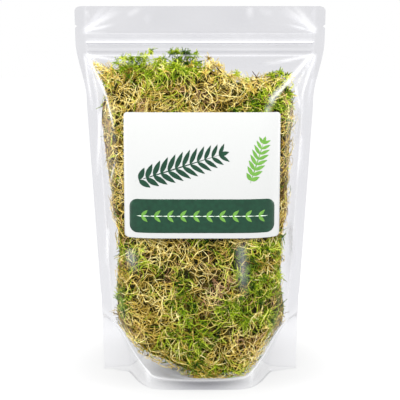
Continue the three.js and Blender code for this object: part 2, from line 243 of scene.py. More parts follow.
def rampOf(tree, amount, stops):
    node = addNode(tree, "ShaderNodeValToRGB", {"Fac": amount})
    while len(node.color_ramp.elements) < len(stops):
        node.color_ramp.elements.new(0.5)
    for element, (at, colour) in zip(node.color_ramp.elements, stops):
        element.position = at
        element.color = (*linear(*colour), 1)
    return node.outputs["Color"]


def newGroup(name, inputs, outputs):
    group = bpy.data.node_groups.new(name, "ShaderNodeTree")
    for way, sockets in (("INPUT", inputs), ("OUTPUT", outputs)):
        for label, kind in sockets.items():
            group.interface.new_socket(label, in_out=way, socket_type=kind)
    return group, group.nodes.new("NodeGroupInput").outputs, group.nodes.new("NodeGroupOutput")


def buildFleckGroup():  # fine uneven flecks that break up a strand's colour
    inputs = {"Color": "NodeSocketColor", "Scale": "NodeSocketFloat", "Amount": "NodeSocketFloat"}
    outputs = {"Color": "NodeSocketColor", "Height": "NodeSocketFloat"}
    group, start, end = newGroup("fleckedStrand", inputs, outputs)
    noise = noiseOf(group, start["Scale"], 3)
    reach = {"From Min": 0.3, "From Max": 0.7, "To Min": 0.45, "To Max": 1.35}
    spread = addNode(group, "ShaderNodeMapRange", {"Value": noise, **reach}).outputs["Result"]
    colour = mixOf(group, start["Amount"], start["Color"], spread, blend="MULTIPLY")
    feed(group, end, {"Color": colour, "Height": noise})
    return group


fleckGroup = buildFleckGroup()
mossLook = {
    "dryStraw": {"fleck": 420, "amount": 0.7, "roughness": 0.62, "ramp": [
        (0.0, (74, 58, 10)), (0.3, (146, 120, 34)), (0.6, (208, 178, 76)), (0.85, (246, 222, 124)),
        (1.0, (255, 242, 168))]},
    "livingGreen": {"fleck": 520, "amount": 0.7, "roughness": 0.5, "ramp": [
        (0.0, (8, 32, 2)), (0.3, (52, 88, 4)), (0.6, (124, 155, 18)), (0.85, (190, 208, 48)),
        (1.0, (228, 234, 104))]},
    "oldBrown": {"fleck": 380, "amount": 0.8, "roughness": 0.7, "ramp": [
        (0.0, (52, 34, 20)), (0.4, (118, 82, 48)), (0.75, (178, 134, 92)), (1.0, (210, 172, 130))]},
    "shadedHeart": {"fleck": 160, "amount": 0.9, "roughness": 0.85, "ramp": [
        (0.0, (24, 26, 3)), (0.5, (48, 45, 8)), (1.0, (78, 68, 18))]},
}


def mossMaterial(name):
    look = mossLook[name]
    material, tree, shader = newMaterial(name)
    colour = rampOf(tree, attributeOf(tree, "tint"), look["ramp"])
    fleck = groupOf(tree, fleckGroup, {"Scale": look["fleck"], "Amount": look["amount"], "Color": colour})
    fleck = fleck.outputs
    feed(tree, shader, {"Base Color": fleck["Color"], "Normal": bumpOf(tree, fleck["Height"], 0.4, 0.0004),
                        "Roughness": look["roughness"], "Specular IOR Level": 0.12})
    return material


strandMaterials = {kind: mossMaterial(name) for kind, name in
                   (("straw", "dryStraw"), ("green", "livingGreen"), ("brown", "oldBrown"))}
coreMaterial = mossMaterial("shadedHeart")

filmLook = {
    "clear": (0.995, 0.995, 0.997, 1), "dim": (0.86, 0.86, 0.875, 1), "roughness": 0.14,
    "hazeAndHighlight": (0.95, 0.955, 0.965, 1), "hazeRoughness": 0.3,
    "leastShine": 0.0025, "edgeShine": 0.4, "edgeSharpness": 6, "waves": 90,
}


def filmMaterial(name):
    # clear, with a faint gloss that grows at a slant, and milky white where the haze mask says so: real haze,
    # and painted highlights along the creases and the zip
    material, tree, hazeAndHighlight = newMaterial(name)
    tone = mixOf(tree, attributeOf(tree, "shade"), filmLook["clear"], filmLook["dim"])
    clear = addNode(tree, "ShaderNodeBsdfTransparent", {"Color": tone}).outputs["BSDF"]
    waves = bumpOf(tree, noiseOf(tree, filmLook["waves"]), 0.08, 0.0005)
    gloss = addNode(tree, "ShaderNodeBsdfGlossy", {
        "Color": (1, 1, 1, 1), "Roughness": filmLook["roughness"], "Normal": waves}).outputs["BSDF"]
    facing = addNode(tree, "ShaderNodeLayerWeight", {"Blend": 0.5}).outputs["Facing"]
    edge = mathOf(tree, "POWER", facing, filmLook["edgeSharpness"]).outputs["Value"]
    amount = mathOf(tree, "MULTIPLY_ADD", edge, filmLook["edgeShine"], filmLook["leastShine"])
    slant = {"Fac": amount.outputs["Value"], 1: clear, 2: gloss}
    shine = addNode(tree, "ShaderNodeMixShader", slant).outputs["Shader"]
    feed(tree, hazeAndHighlight, {"Base Color": filmLook["hazeAndHighlight"], "Roughness": filmLook["hazeRoughness"]})
    mask = attributeOf(tree, "hazeAndHighlight")
    whole = addNode(tree, "ShaderNodeMixShader", {"Fac": mask, 1: shine, 2: hazeAndHighlight.outputs["BSDF"]})
    feed(tree, tree.nodes["Material Output"], {"Surface": whole.outputs["Shader"]})
    return material


clearFilm = filmMaterial("clearFilm")
print("materials made")

# the film
filmCreases = [
    # x0, z0, x1, z1, half width, height, painted highlight: each starts sharp at its first end and fades to
    # its second
    (-105, 314, -87.7, 277, 0.8, 0.1, 0.34),
    (-88.4, 280, -79.5, 246, 0.65, 0.1, 0.34),
    (-107, 313, -101, 262, 0.9, 0.15, 0.18),
    (-91, 246, -91, 228, 0.6, 0.1, 0.3),
    (-79, 214, -85, 192, 0.6, 0.1, 0.25),
    (104, 313, 71, 278, 1.8, 0.3, 0.2),
    (103, 312, 82, 288.5, 0.9, 0.2, 0.2),
    (84, 290, 66, 273, 0.9, 0.2, 0.22),
    (75, 283, 65, 272, 2.0, 0.2, 0.2),
    (67, 275, 61, 259, 1.5, 0.1, 0.17),
    (-50.5, 20, -49.5, 3, 2.2, 0.3, 0.16),
    (50, 18, 50.5, 3, 2.2, 0.3, 0.16),
    (107, 313, 93, 268, 0.8, 0.15, 0.28),
    (88, 284, 95, 259, 0.7, 0.15, 0.2),
    (-107, 333.5, -77, 350.5, 2.0, 0.15, 0.11),
    (-105, 334, -81, 339, 1.4, 0.12, 0.1),
    (-108, 331.5, -86, 333, 0.8, 0.1, 0.05),
    (-66, 348, -55, 354, 2.0, 0.1, 0.06),
    (-104, 352, -102, 345, 1.3, 0.1, 0.05),
    (107, 333, 88, 354, 2.4, 0.15, 0.12),
    (105, 334, 79, 354, 1.4, 0.12, 0.1),
    (108, 332, 83, 339, 0.9, 0.1, 0.09),
    (45, 355, 48.5, 341, 1.5, 0.15, 0.07),
    (-107, 312, -60, 305, 1.1, 0.2, 0.1),
    (107, 312, 60, 304, 1.1, 0.2, 0.12),
    (38, 142, 41, 96, 3.5, 0, 0.085),
    (-66, 134, -62, 118, 4, 0, 0.11),
    (-93, 262, -98, 200, 1.3, 0.3, 0.2),
    (-88, 150, -91, 110, 1.6, 0.3, 0.25),
    (96, 236, 93, 196, 1.2, 0.3, 0.15),
]
zipLines = [  # height, half width, painted highlight, how far the line stands out, and how much painted shade it adds
    (332.7, 0.4, 0, 0.1, 0.2), (331.5, 0.4, 0.05, 0.1, 0), (330, 0.4, 0, 0.1, 0.16),
    (328, 0.45, 0, 0.1, 0.12), (325.7, 0.6, 0.06, 0.1, 0), (323.9, 0.48, 0.7, 0.15, 0),
    (322.5, 0.42, 0, 0.1, 0.9), (320.6, 0.7, 0, 0.05, 0.2), (317.3, 0.6, 0.04, 0.1, 0),
    (314.9, 0.7, 0, 0.1, 0.5), (311.7, 0.7, 0.1, 0.15, 0),
]
filmTone = {  # how much each part of the film dims what is behind it
    # front and back: body, neck, header, side seal
    "front": (0.17, 0.34, 0.32, 0.44), "back": (0.45, 0.55, 0.6, 0.44),
    # skirt and flap: painted shadow, the shade under the pouch seen through its bottom
    "fin": 0.14, "edge": 0.2, "skirtShadow": 0.95, "flap": 0.8, "besideSeal": 0.15, "uneven": 0.07,
}
filmHaze = {"sides": 0.045, "sideSeal": 0.1, "slantSeal": (0.2, 0.32), "underSeal": 0.1, "gusset": 0.01}


def segmentDistance(x, z, x0, z0, x1, z1):
    dx, dz = x1 - x0, z1 - z0
    t = np.clip(((x - x0) * dx + (z - z0) * dz) / (dx * dx + dz * dz), 0, 1)
    return np.hypot(x - x0 - t * dx, z - z0 - t * dz), t


def filmRelief(x, z, side):  # how far the film stands out of its smooth shape, how hazy it is with painted highlights, and how dim
    inner, across = innerHalf(z), np.abs(x)
    u = x if side < 0 else -x
    relief = 0.35 * np.sin(u / 17 + 1.3 * np.sin(z / 41)) * np.sin(z / 23 + 0.6 * np.cos(u / 29))
    relief += 0.22 * np.sin(u / 7.3 + 2.1 * np.sin(z / 33 + side)) * np.cos(z / 19 + u / 31)
    relief += 0.5 * np.cos(u / 34 + 0.4 * side) * np.sin(z / 61 + 1)
    relief *= 0.75 * smoothStep(inner - across, 0, 12) * band(z, 4, 40, 300, 316)
    hazeAndHighlight, dark = np.zeros_like(x), np.zeros_like(x)
    # each crease is raised a little and painted white along its line as a highlight
    for x0, z0, x1, z1, half, height, paintedHighlight in filmCreases:
        away, t = segmentDistance(u, z, x0, z0, x1, z1)
        line = bell(away, 0, half) * smoothStep(t, -0.02, 0.1) * (1 - 0.7 * smoothStep(t, 0.6, 1))
        relief += height * line
        hazeAndHighlight += paintedHighlight * line
    inZip = fadeOut(across, inner - 2, inner + 1)
    # painted highlights and painted shade lines along the zip tracks, on the front film only
    for at, half, paintedHighlight, height, dim in zipLines:
        line = bell(z, at, half) * inZip
        relief += height * line
        if side < 0:
            hazeAndHighlight += paintedHighlight * line
            dark += dim * line
    sealed = smoothStep(across, inner - 0.5, inner + 0.5)
    relief += 0.1 * sealed * np.sin(across / 1.1 + 0.4 * np.sin(z / 23)) * fadeOut(z, 300, 330)
    overSeal = z - sealLine(x)
    hazeAndHighlight += filmHaze["sides"] * band(across, 76, 86, 88, 94) * band(z, 110, 150, 250, 280)
    sideLine = bell(across, inner, 0.6) * smoothStep(z, 60, 105)
    hazeAndHighlight += filmHaze["sideSeal"] * sideLine * (1 - 0.75 * smoothStep(z, 309, 315))
    slantHaze = lerp(*filmHaze["slantSeal"], smoothStep(across, 30, 48))
    hazeAndHighlight += slantHaze * bell(overSeal, 0, 1.1) * fadeOut(across, 80, 92)
    hazeAndHighlight += filmHaze["underSeal"] * bell(overSeal, -3.5, 3.5) * band(across, 36, 52, 64, 80)
    shade = filmShade(u, z, side, inner, sealed, overSeal) + dark
    return relief, np.clip(hazeAndHighlight, 0, 0.95), np.clip(shade, 0, 1)


def filmShade(u, z, side, inner, sealed, overSeal):
    across = np.abs(u)
    body, neck, header, sideSeal = filmTone["front" if side < 0 else "back"]
    shade = lerp(body, neck, smoothStep(z, 284, 306))
    shade = lerp(shade, header, smoothStep(z, 309, 313))
    shade = lerp(shade, sideSeal, sealed * fadeOut(z, 300, 313))
    besideSeal = smoothStep(across, inner - 14, inner - 4) * (1 - sealed)
    shade += filmTone["besideSeal"] * besideSeal * band(z, 90, 120, 260, 290)
    soft = 0.75 + 13 * smoothStep(across, 80, 90)  # towards the side seals the change of tone is gradual
    shade = lerp(shade, filmTone["fin"] * smoothStep(z, 8, 48), fadeOut(overSeal, -0.25 - soft, -0.25 + soft))
    # painted shadow: the shade under the middle of the pouch, seen through the skirt
    shade += filmTone["skirtShadow"] * bell(u, 4, 34) * fadeOut(z, 8.5, 10) * lerp(0.55, 1, z / 9)
    lowEdge = filmTone["edge"] * (1 if side < 0 else 0.3) * fadeOut(z - bottomEdge(u), 0, 1.6)
    shade += lowEdge * smoothStep(across, 45, 60) * (1 - 0.7 * smoothStep(across, 76, 92))
    uneven = np.sin(u / 19 + 1.7 * np.sin(z / 27)) * np.sin(z / 14 + u / 37)
    return shade + filmTone["uneven"] * uneven * smoothStep(z, 290, 310)


def filmGrid(side):
    front = side < 0
    rows = np.unique(np.round(np.concatenate([  # closer together at the seal, in the neck and at the zip
        [0, 1.5, 3, 5, 7, 9, 10.6, 11.4, 12, 12.6, 13.4, 15], np.arange(17, 250, 4), np.arange(250, 308, 2.2),
        np.arange(308, 334, 0.55 if front else 1.3), np.arange(334, 350, 1.6), [336.4, 338, 339.6],
        np.linspace(350.4, pouch["height"], 7)]), 3))
    fine, plain = (34, 38) if front else (18, 36)  # more columns where the creases of the front are
    middle = np.linspace(-0.7, 0.7, plain)[1:-1]
    spread = np.concatenate([np.linspace(-1, -0.7, fine), middle, np.linspace(0.7, 1, fine)])
    u, row = np.meshgrid(spread, rows)
    atSeal, settled = 12, 84  # one row of points runs along the seal, and the rows are level again above it
    x = u * outlineHalf(row)
    below = lerp(bottomEdge(x), sealLine(x), np.clip(row / atSeal, 0, 1))
    above = lerp(sealLine(x), settled, (row - atSeal) / (settled - atSeal))
    z = np.where(row <= atSeal, below, np.where(row < settled, above, row))
    relief, hazeAndHighlight, shade = filmRelief(x, z, side)
    return np.stack([x, side * (wallDepth(x, z) + relief), z], -1), hazeAndHighlight, shade


def buildPanel(name, side, node):
    inner, hazeAndHighlight, shade = filmGrid(side)
    out = gridNormals(inner)
    out *= np.sign(np.sum(out[..., 1] * side))
    film = gridShell(name, inner + out * pouch["film"], inner, [clearFilm], {"hazeAndHighlight": hazeAndHighlight, "shade": shade})
    fitPiece(film, "film", node)


gussetGrid = {"across": 67, "flapRows": 6, "webRows": 29, "inset": 0.3}


def buildGusset():
    xs = np.linspace(-1, 1, gussetGrid["across"]) * (pouch["baseHalf"] - 1)
    steps = np.arange(gussetGrid["flapRows"]) / gussetGrid["flapRows"]
    web = np.sin(np.linspace(-0.5, 0.5, gussetGrid["webRows"]) * math.pi)
    top = sealLine(xs)
    parts = []
    for side, order in ((-1, steps), (1, steps[::-1])):
        z = bottomEdge(xs)[:, None] + (top - bottomEdge(xs))[:, None] * order[None]
        x = np.repeat(xs[:, None], len(order), 1)
        parts.append(np.stack([x, side * (wallDepth(x, z) - gussetGrid["inset"]), z], -1))
    y = (wallDepth(xs, top) - gussetGrid["inset"])[:, None] * web[None]
    x = np.repeat(xs[:, None], len(web), 1)
    off = np.hypot(x, y)
    spot = fadeOut(off, pouch["gussetSpot"], 3.4 * pouch["gussetSpot"])
    sag = (top[:, None] - 0.3) * spot * (1 - np.abs(web[None]) ** 8)  # down to the table in the middle
    ripple = 0.4 * np.sin(x / 9 + y / 13) * smoothStep(off, 30, 50) * (1 - np.abs(web[None]) ** 4)
    parts.insert(1, np.stack([x, y, top[:, None] - sag + ripple], -1))
    outer = np.concatenate(parts, 1)
    up = gridNormals(outer)
    up *= np.sign(up[..., 2].sum())
    flaps = np.ones(outer.shape[:2])
    flaps[:, len(steps):-len(steps)] = 0
    # painted shadow on the middle of the flaps, the shade under the pouch
    shade = 0.02 + filmTone["flap"] * flaps * bell(outer[..., 0], 4, 36)
    fields = {"hazeAndHighlight": np.full(outer.shape[:2], filmHaze["gusset"]), "shade": shade}
    piece = gridShell("film_gusset", outer, outer - up * pouch["film"], [clearFilm], fields)
    fitPiece(piece, "film", "pouch_bottom_gusset")


buildPanel("film_front", -1, "pouch_front_panel")
buildPanel("film_back", 1, "pouch_back_panel")
buildGusset()
print("film made")

# the zip: two pressed tracks with soft ribs, crushed flat where the side seals cross them
zipPiece = {
    "half": 5.4, "length": 103, "base": 0.35, "rib": 0.85, "ribHalf": 0.55, "wall": 1.1, "crushed": 0.2,
    "colour": (0.9, 0.905, 0.915, 1), "mostMilky": 0.04,
}


def zipMaterial():
    material, tree, shader = newMaterial("milkyZip")
    milky = {"Value": noiseOf(tree, 140), "To Min": 0.0, "To Max": zipPiece["mostMilky"]}
    alpha = addNode(tree, "ShaderNodeMapRange", milky).outputs["Result"]
    feed(tree, shader, {"Base Color": zipPiece["colour"], "Roughness": 0.22, "Alpha": alpha})
    return material


milkyZip = zipMaterial()


def buildZip(name, side, ribs, node):
    z = np.linspace(-zipPiece["half"], zipPiece["half"], 27)
    xs = np.linspace(-zipPiece["length"], zipPiece["length"], 40)
    full = fadeOut(np.abs(xs), zipPiece["length"] - 7, zipPiece["length"] - 2)[:, None]
    stand = sum(np.exp(-(((z - at) / zipPiece["ribHalf"]) ** 4)) for at in ribs) * zipPiece["rib"]
    back = zipPiece["wall"] * full + zipPiece["crushed"] * (1 - full) + 0 * z[None]
    face = back - zipPiece["base"] * (0.3 + 0.7 * full) - stand[None] * full * 0.9
    face = np.maximum(face, 0.03 if side > 0 else -0.75)
    x = np.repeat(xs[:, None], len(z), 1)
    height = pouch["zipHeight"] + np.repeat(z[None], len(xs), 0)
    outer, inner = (np.stack([x, side * y, height], -1) for y in (back, face))
    fitPiece(gridShell(name, outer, inner, [milkyZip]), "zip", node)


buildZip("zip_single_rib", -1, [-2.6], "zip_track_single_rib")
buildZip("zip_double_rib", 1, [-3.7, -1.5], "zip_track_double_rib")
print("zip made")

# the label and its plain printed design
label = {"centre": 1.9, "low": 147, "high": 261.3, "half": 72, "corner": 3.2, "thickness": 0.22, "stand": 1.1,
         "rows": 44, "columns": 61}
labelPrint = {
    "sink": 0.05,  # how deep the ink's underside lies in the label
    "band": (-67, 67, 5, 36, 7), "bandLift": 0.09,  # left, right, low, high, corner
    "row": {"first": -60, "gap": 12, "count": 10, "height": 20.5, "stem": (12.4, 0.8),
            "turn": 0.75, "leaf": (8, 3), "leafShift": 4},
    "rowLift": 0.2, "stemLift": 0.16, "frondLift": 0.1,
    "frond": (-62, 52, 0.3, 84, 12, 17, 5.2),  # x, z, angle, length, pairs of leaves, leaf length, leaf width
    "smallFrond": (44, 50, 1.25, 40, 8, 11, 3.8),
}


def labelSurface(x, z, lift):
    wave = 0.12 * np.sin(x / 21 + z / 47) * np.cos(z / 18)
    return np.stack([x, -(wallDepth(x, z) + label["stand"] + (lift + wave)), z], -1)


def printMaterial(name, stops, roughness, scale=260, detail=5, relief=0.0):
    material, tree, shader = newMaterial(name)
    noise = noiseOf(tree, scale, detail)
    feed(tree, shader, {"Base Color": rampOf(tree, noise, stops), "Roughness": roughness})
    if relief:
        feed(tree, shader, {"Normal": bumpOf(tree, noise, relief, 0.0001)})
    return material


satinLabel = printMaterial("satinLabel", [(0.0, (180, 181, 180)), (1.0, (185, 186, 185))], 0.42, 900, 4, 0.08)
deepInk = printMaterial("deepGreenInk", [(0.3, (4, 44, 28)), (0.7, (12, 58, 38))], 0.38)
leafInk = printMaterial("leafGreenInk", [(0.3, (84, 134, 48)), (0.7, (104, 152, 62))], 0.42)
paleInk = printMaterial("paleGreenInk", [(0.3, (214, 230, 212)), (0.7, (224, 238, 222))], 0.45)


def roundedReach(rows, low, high, corner):  # how far each row reaches past the centre of its rounded corner
    cut = np.clip(np.maximum(low + corner - rows, rows - (high - corner)), 0, corner)
    return np.sqrt(np.maximum(corner ** 2 - cut ** 2, 0))


def buildLabel():
    low, high, corner = label["low"], label["high"], label["corner"]
    ends = corner * (1 - np.sin(np.radians([90, 67, 45, 22, 0])))
    between = np.linspace(low + corner, high - corner, label["rows"])[1:-1]
    rows = np.concatenate([low + ends, between, (high - ends)[::-1]])
    reach = label["half"] - (corner - roundedReach(rows, low, high, corner))
    x = label["centre"] + np.linspace(-1, 1, label["columns"])[None] * reach[:, None]
    z = np.repeat(rows[:, None], label["columns"], 1)
    front, back = labelSurface(x, z, label["thickness"]), labelSurface(x, z, 0)
    fitPiece(gridShell("label_sheet", front, back, [satinLabel]), "label", "front_label")


def printFaces(x, z, lift):  # the upper and the lower face of a printed shape, from its place on the label
    x, z = label["centre"] + x, label["low"] + z
    top = label["thickness"]
    return labelSurface(x, z, top + lift), labelSurface(x, z, top - labelPrint["sink"])


def printBand(name, left, right, low, high, corner):
    curve = corner * (1 - np.cos(np.linspace(0, math.pi / 2, 7)))
    rows = np.unique(np.concatenate([low + curve, np.linspace(low + corner, high - corner, 9), high - curve]))
    pull = corner - roundedReach(rows, low, high, corner) * 0.999
    lefts, rights = left + pull, right - pull
    share = np.linspace(0, 1, 81)
    x = lefts[:, None] + (rights - lefts)[:, None] * share[None]
    z = np.repeat(rows[:, None], len(share), 1)
    fitPiece(gridShell(name, *printFaces(x, z, labelPrint["bandLift"]), [deepInk]), "label")


def leafPlates(leaves, name, material, lift):  # flat pointed leaves: x, z, angle, length, width
    allVerts, allTris, start = [], [], 0
    for cx, cz, angle, length, width in leaves:
        t = np.linspace(0, 1, 9)
        half = width / 2 * np.sin(math.pi * t ** 0.8) ** 0.9 + 0.02
        along = np.array([math.cos(angle), math.sin(angle)])
        aside = np.array([-along[1], along[0]])
        mid = np.array([cx, cz])[None] + along[None] * (t * length)[:, None]
        left, right = mid + aside * half[:, None], mid - aside * half[:, None]
        flat = np.stack([left, right], 1).reshape(-1, 2)
        n = len(flat)
        tris = []
        for a in range(0, n - 2, 2):
            b, c, d = a + 1, a + 3, a + 2
            tris += [(a, b, c), (a, c, d), (a + n, c + n, b + n), (a + n, d + n, c + n)]
            tris += [(a, d, d + n), (a, d + n, a + n), (b, c + n, c), (b, b + n, c + n)]
        tris += [(0, n, 1), (1, n, n + 1), (n - 2, n - 1, 2 * n - 2), (n - 1, 2 * n - 1, 2 * n - 2)]
        allVerts += printFaces(flat[:, 0], flat[:, 1], lift)
        allTris.append(np.array(tris) + start)
        start += 2 * n
    fitPiece(makeMesh(name, np.concatenate(allVerts), np.concatenate(allTris), [material]), "label")


def frondLeaves(x, z, angle, length, pairs, leafLength, leafWidth, turn=0.85):  # a stem with paired leaves
    leaves = [(x, z, angle, length, 1.1)]
    for i in range(pairs):
        t = (i + 0.6) / pairs
        size = leafLength * (0.5 + 0.5 * math.sin(math.pi * (0.12 + 0.8 * t)))
        px, pz = x + math.cos(angle) * length * t, z + math.sin(angle) * length * t
        for way in (turn, -turn):
            leaves.append((px, pz, angle + way, size, leafWidth * (1 - 0.35 * t)))
    px, pz = x + math.cos(angle) * length * 0.96, z + math.sin(angle) * length * 0.96
    return leaves + [(px, pz, angle, leafLength * 0.6, leafWidth * 0.8)]


def buildPrint():
    printBand("print_deep_band", *labelPrint["band"])
    leafPlates(frondLeaves(*labelPrint["frond"]), "print_long_frond", deepInk, labelPrint["frondLift"])
    leafPlates(frondLeaves(*labelPrint["smallFrond"]), "print_small_frond", leafInk, labelPrint["frondLift"])
    row = labelPrint["row"]
    starts = [row["first"] + row["gap"] * i for i in range(row["count"])]
    turns = (row["turn"], -row["turn"])
    leaves = [(x + row["leafShift"], row["height"], turn, *row["leaf"]) for x in starts for turn in turns]
    leafPlates(leaves, "print_leaf_row", leafInk, labelPrint["rowLift"])
    stems = [(x, row["height"], 0.0, *row["stem"]) for x in starts]
    leafPlates(stems, "print_leaf_row_stem", paleInk, labelPrint["stemLift"])


buildLabel()
buildPrint()
print("label made")

# the moss
mossReach = [  # height, left and right end of the moss as it lies against the front film
    (9, 4, 39), (11, -3, 43), (14, -8, 46.5), (18, -18, 49.5), (20.5, -24, 51.5), (26, -34, 56),
    (30, -48, 60.5), (33, -56, 63.5), (37, -63.5, 68.5), (41.5, -71.5, 72.5), (46.5, -77.5, 77.5),
    (52, -80.5, 81), (58, -82.5, 83.5), (66, -82.5, 84), (78, -82, 82), (88, -82, 80.5), (104, -81, 79),
    (121, -79.5, 79.5), (140, -79, 80), (158, -82, 83), (171, -86, 84.5), (184, -85, 84.5), (197, -88, 85),
    (218, -90, 85), (236, -92, 86), (257, -93.5, 89), (266, -92, 88), (276, -89, 86), (284, -91, 84),
    (292, -94, 81), (300, -98, 70), (310, -99, 60),
]
mossTopLine = [
    (-99, 306), (-93, 305), (-88, 302), (-80, 300), (-72, 304), (-60, 306), (-40, 303), (-18, 306),
    (2, 303), (10, 303), (20, 299), (34, 291), (50, 290), (62, 293), (72, 294), (80, 290), (86, 276),
    (92, 262),
]
tufts = [  # CAD node and the middle of the tuft
    ("moss_straw_left_shoulder", (-62, 10, 240)), ("moss_green_crown", (-18, -9, 258)),
    ("moss_straw_crown", (34, 8, 252)), ("moss_green_right_shoulder", (70, -9, 216)),
    ("moss_straw_left", (-46, -11, 168)), ("moss_green_heart", (20, 11, 182)),
    ("moss_green_left", (-58, 10, 94)), ("moss_straw_middle", (-2, -13, 108)),
    ("moss_straw_right", (56, 4, 124)), ("moss_straw_bottom", (-32, -4, 38)),
    ("moss_green_bottom", (34, 9, 46)),
]
greenPatches = [  # x, z, reach across, reach up, strength
    (-44, 302, 34, 13, 1.0), (-14, 303, 22, 12, 1.0), (68, 264, 22, 13, 1.0), (42, 257, 16, 9, 0.9),
    (84, 284, 8, 12, 0.8), (-14, 272, 10, 5, 0.4), (-82, 262, 10, 12, 0.5), (34, 286, 12, 6, 0.6),
    (-40, 280, 8, 5, 0.3), (-63, 132, 12, 9, 1.0), (-48, 119, 11, 4.5, 0.9), (-19, 107, 10, 6, 1.0),
    (-13, 83, 12, 9, 1.0), (-2, 141, 11, 5, 0.9), (25, 130, 13, 8, 1.0), (40, 122, 9, 20, 0.9),
    (62, 137, 20, 11, 0.8), (63, 99, 15, 11, 1.0), (38, 76, 25, 17, 0.85), (66, 70, 12, 14, 0.7),
    (-26, 52, 12, 9, 1.0), (-5, 40, 14, 20, 0.95), (22, 21, 20, 8, 1.0), (-74, 79, 8, 13, 0.8),
    (-63, 47, 8, 6, 0.3), (8, 60, 12, 9, 0.8), (50, 103, 15, 13, 0.9), (-16, 95, 9, 7, 0.8),
    (-12, 63, 9, 9, 0.7), (-60, 121, 7, 6, 0.9), (52, 269, 13, 8, 1.0), (-27, 40, 9, 7, 0.7),
    (-20, 200, 30, 26, 0.5), (20, 170, 26, 20, 0.6),
]
brownPatches = [
    (17, 110, 14, 14, 1.0), (10, 86, 10, 10, 1.0), (-27, 116, 8, 6, 0.8), (13, 272, 8, 5, 0.7),
    (-4, 298, 6, 5, 0.5), (44, 46, 14, 6, 0.8), (67, 84, 6, 4, 1.0), (-46, 132, 6, 6, 0.8),
    (-74, 112, 4, 10, 0.8), (-10, 284, 20, 6, 0.9), (-48, 268, 10, 7, 0.6), (8, 262, 14, 6, 0.7),
    (52, 272, 8, 5, 0.5), (-30, 112, 8, 4, 0.6), (-86, 224, 7, 24, 0.65), (86, 172, 6, 22, 0.6),
    (88, 240, 6, 12, 0.5),
]
tonePatches = [  # x, z, reach across, reach up, change of tone: brighter and darker clumps on the front
    (-67, 62, 9, 9, 0.19), (-55, 44, 8, 8, 0.14), (-20, 128, 12, 8, 0.17), (-38, 102, 7, 14, 0.12),
    (-60, 122, 7, 6, -0.15), (-60, 102, 6, 6, -0.17), (-13, 84, 10, 8, -0.17), (2, 69, 9, 10, -0.12),
    (41, 118, 6, 16, -0.21), (34, 130, 8, 8, -0.15), (53, 268, 9, 6, -0.2), (-4, 54, 7, 6, -0.18),
    (-4, 26, 6, 5, -0.2), (19, 26, 6, 5, 0.17), (67, 60, 7, 5, 0.15), (17, 105, 12, 14, 0.17),
    (-78, 292, 8, 12, 0.14), (8, 297, 5, 5, 0.15), (66, 286, 9, 8, -0.12), (-64, 264, 8, 5, -0.15),
    (-48, 268, 5, 6, 0.1), (-14, 308, 8, 6, -0.1), (-14, 279, 5, 5, -0.1), (-9, 43, 8, 11, -0.14),
    (-3, 62, 6, 6, -0.08), (44, 98, 7, 9, -0.12), (-42, 119, 9, 6, 0.17), (-60, 121, 5, 5, -0.1),
    (48, 271, 9, 7, -0.08),
]


def mossEnds(z, side):
    heights, lefts, rights = columns(mossReach)
    even = (rights - lefts) / 2
    left = np.where(side < 0, np.interp(z, heights, lefts), -np.interp(z, heights, even))
    right = np.where(side < 0, np.interp(z, heights, rights), np.interp(z, heights, even))
    return left, right


def mossTop(x):
    return np.interp(x, *columns(mossTopLine))


def patchField(x, z, side, patches, turn):
    # 0 to 1: the listed patches on the front, rolling ones on the back
    wobble = 0.24 * np.sin(x / 6.5 + 2 * np.sin(z / 9) + turn) * np.sin(z / 7.1 + x / 23)
    wobble += 0.16 * np.sin(x / 2.9 + turn) * np.sin(z / 3.3)
    field = np.zeros_like(x)
    for px, pz, rx, rz, strength in patches:
        field = np.maximum(field, strength * np.exp(-((((x - px) / rx) ** 2 + ((z - pz) / rz) ** 2) ** 1.3)))
    rolling = np.sin(x / 21 + 1.9 + turn) * np.sin(z / 25 + 0.8 * np.sin(x / 23) + turn)
    return smoothStep(np.where(side < 0, field, smoothStep(rolling, -0.05, 0.5)) + wobble, 0.12, 0.68)


def scatterPlaces(rng, count):
    found = np.zeros((0, 3))
    while len(found) < count:
        x, z = rng.uniform(-94, 90, 3 * count), rng.uniform(9, 306, 3 * count)
        side = rng.choice([-1.0, 1.0], 3 * count, p=[0.56, 0.44])
        left, right = mossEnds(z, side)
        keep = (x > left) & (x < right) & (z < mossTop(x))
        found = np.concatenate([found, np.stack([x[keep], z[keep], side[keep]], -1)])
    return found[:count].T


def pickPlaces(rng, count, spare, chanceOf):  # places chosen by what the patches say of each one
    x, z, side = scatterPlaces(rng, count * spare)
    green = patchField(x, z, side, greenPatches, 0.0)
    brown = patchField(x, z, side, brownPatches, 2.0)
    keep = np.flatnonzero(rng.uniform(0, 1, len(x)) < chanceOf(green, brown))[:count]
    return x[keep], z[keep], side[keep]


def flowAngle(x, z, side):  # the lie of the pile
    slow = 1.7 * np.sin(x / 31 + 2.4 * side + 0.9 * np.sin(z / 37))
    return slow + 2.1 * np.cos(z / 27 - 0.7 * side + 0.6 * np.sin(x / 22)) + 1.1 * np.sin((x + z) / 41)


